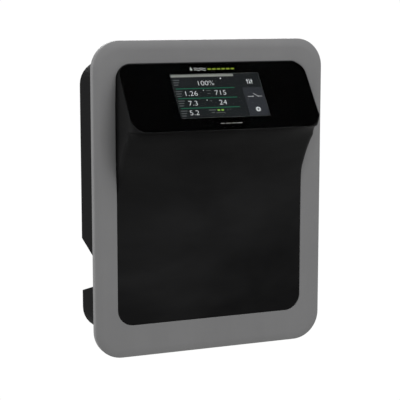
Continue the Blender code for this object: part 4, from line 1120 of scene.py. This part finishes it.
def ribbon():
    """The flat cable from the main board's header to the display board."""
    low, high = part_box("ribbon_header")
    start = Vector(((low.x + high.x) / 2, low.y, (low.z + high.z) / 2))
    shelf = BOARD_DEPTH + BOARD[2] + HEADER_TALL
    place = lens_place(HEADER_ACROSS, HEADER_DOWN, shelf)
    end, inward, lens_up = place.translation, -place.col[2].xyz, place.col[1].xyz
    steps = 30
    route = list(bezier([start, start + Vector((0, -44, 0)) * MM, end + inward * 34 * MM, end], steps))
    cores, per_core = 10, 6
    pitch, reach = RIBBON_WIDTH / cores, 0.5 * MM
    section = []
    for side in (1, -1):
        for k in range(cores * per_core):
            t = k / per_core
            rib = reach * (0.45 + 0.55 * abs(sin(pi * t)))
            section.append((side * (t * pitch - RIBBON_WIDTH / 2), side * rib))
    rings = []
    for i, point in enumerate(route):
        ahead = route[min(i + 1, steps)] - route[max(i - 1, 0)]
        across = Vector((0, 0, 1)).lerp(lens_up, i / steps).normalized()
        side = ahead.cross(across).normalized()
        rings.append([point + across * u + side * v for u, v in section])
    cable = ring_loft("display_ribbon_cable", rings)
    smooth(cable, 60)
    painted(cable, "ribbon")
    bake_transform(cable)
    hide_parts("display_ribbon")
    for name, body, where in (
        ("ribbon_plug_board", "housing", facing_front(start.y) @ shifted(start.x, start.z, 0)),
        ("ribbon_plug_display", "door", place @ Matrix.Rotation(pi, 4, "X")),
    ):
        plug = block("plug", 3, 15, 0.1, 5, edge=0.4)
        boolean(plug, [block("groove", 0.6, 10, 4, 6, x=x) for x in (-1.9, 1.9)])
        plug.data.transform(where)
        plug.name = name
        piece(plug, body, "black_plastic")


# ---------------- studio


def studio():
    """Soft lamps round the unit, in a room that is white to the camera and dimmer to everything else."""
    scene = bpy.context.scene
    scene.view_settings.view_transform = "Standard"
    world = bpy.data.worlds.new("studio")
    scene.world = world
    world.use_nodes = True
    nodes, links = world.node_tree.nodes, world.node_tree.links
    nodes.clear()
    mix = nodes.new("ShaderNodeMixShader")
    for socket, strength in ((1, 0.46), (2, 1.02)):
        white = nodes.new("ShaderNodeBackground")
        white.inputs["Color"].default_value = (1, 1, 1, 1)
        white.inputs["Strength"].default_value = strength
        links.new(white.outputs[0], mix.inputs[socket])
    links.new(nodes.new("ShaderNodeLightPath").outputs["Is Camera Ray"], mix.inputs[0])
    links.new(mix.outputs[0], nodes.new("ShaderNodeOutputWorld").inputs[0])
    lamp("key", (0.25, -1.4, 1.75), 1.2, 27)
    lamp("left", (-2.1, 0.6, 0.4), 0.8, 27)
    lamp("fill", (1.0, -2.3, 0.6), 1.6, 2)
    lamp("rear", (0.6, 2.1, 1.0), 1.6, 34)
    lamp("rear_side", (1.9, 0.9, 0.3), 1.2, 3)


def lamp(name, place, diameter, power):
    """A round soft lamp of that many watts, turned to the unit."""
    data = bpy.data.lights.new(name, "AREA")
    data.shape = "DISK"
    data.size = diameter
    data.energy = power
    obj = add(name, data)
    obj.location = place
    obj.rotation_euler = (-Vector(place)).to_track_quat("-Z", "Y").to_euler()


def floor():
    """A pale floor, as far below the unit as a wall unit hangs above the ground."""
    outline = centred(FLOOR_SIZE, FLOOR_SIZE, 1.2, 24)
    obj = plate("floor", [outline], -0.02, 0, shifted(0, 0, FLOOR_HEIGHT))
    made = Shader("pale_floor").set(Specular_IOR_Level=0.2)
    speck = made.noise(60, 4)
    made.colour(speck, (0.80, 0.80, 0.79), (0.84, 0.84, 0.83))
    made.drive("Roughness", made.spread(speck, 0.6, 0.7))
    painted(obj, made.material)


def camera():
    data = bpy.data.cameras.new("camera")
    data.sensor_width = 36
    data.lens = CAMERA_LENS
    obj = add("camera", data)
    level = cos(CAMERA_ELEVATION)
    back = Vector((sin(CAMERA_AZIMUTH) * level, -cos(CAMERA_AZIMUTH) * level, sin(CAMERA_ELEVATION)))
    obj.location = CAMERA_TARGET + back * CAMERA_DISTANCE
    obj.rotation_euler = back.to_track_quat("Z", "Y").to_euler()
    bpy.context.scene.camera = obj


camera()
studio()
floor()
dress_cad_nodes()
surround()
panel()
lens()
screen()
lens_marks()
terminal_screws()
chip_pins()
small_parts()
board_print()
display_board_fittings()
ribbon()
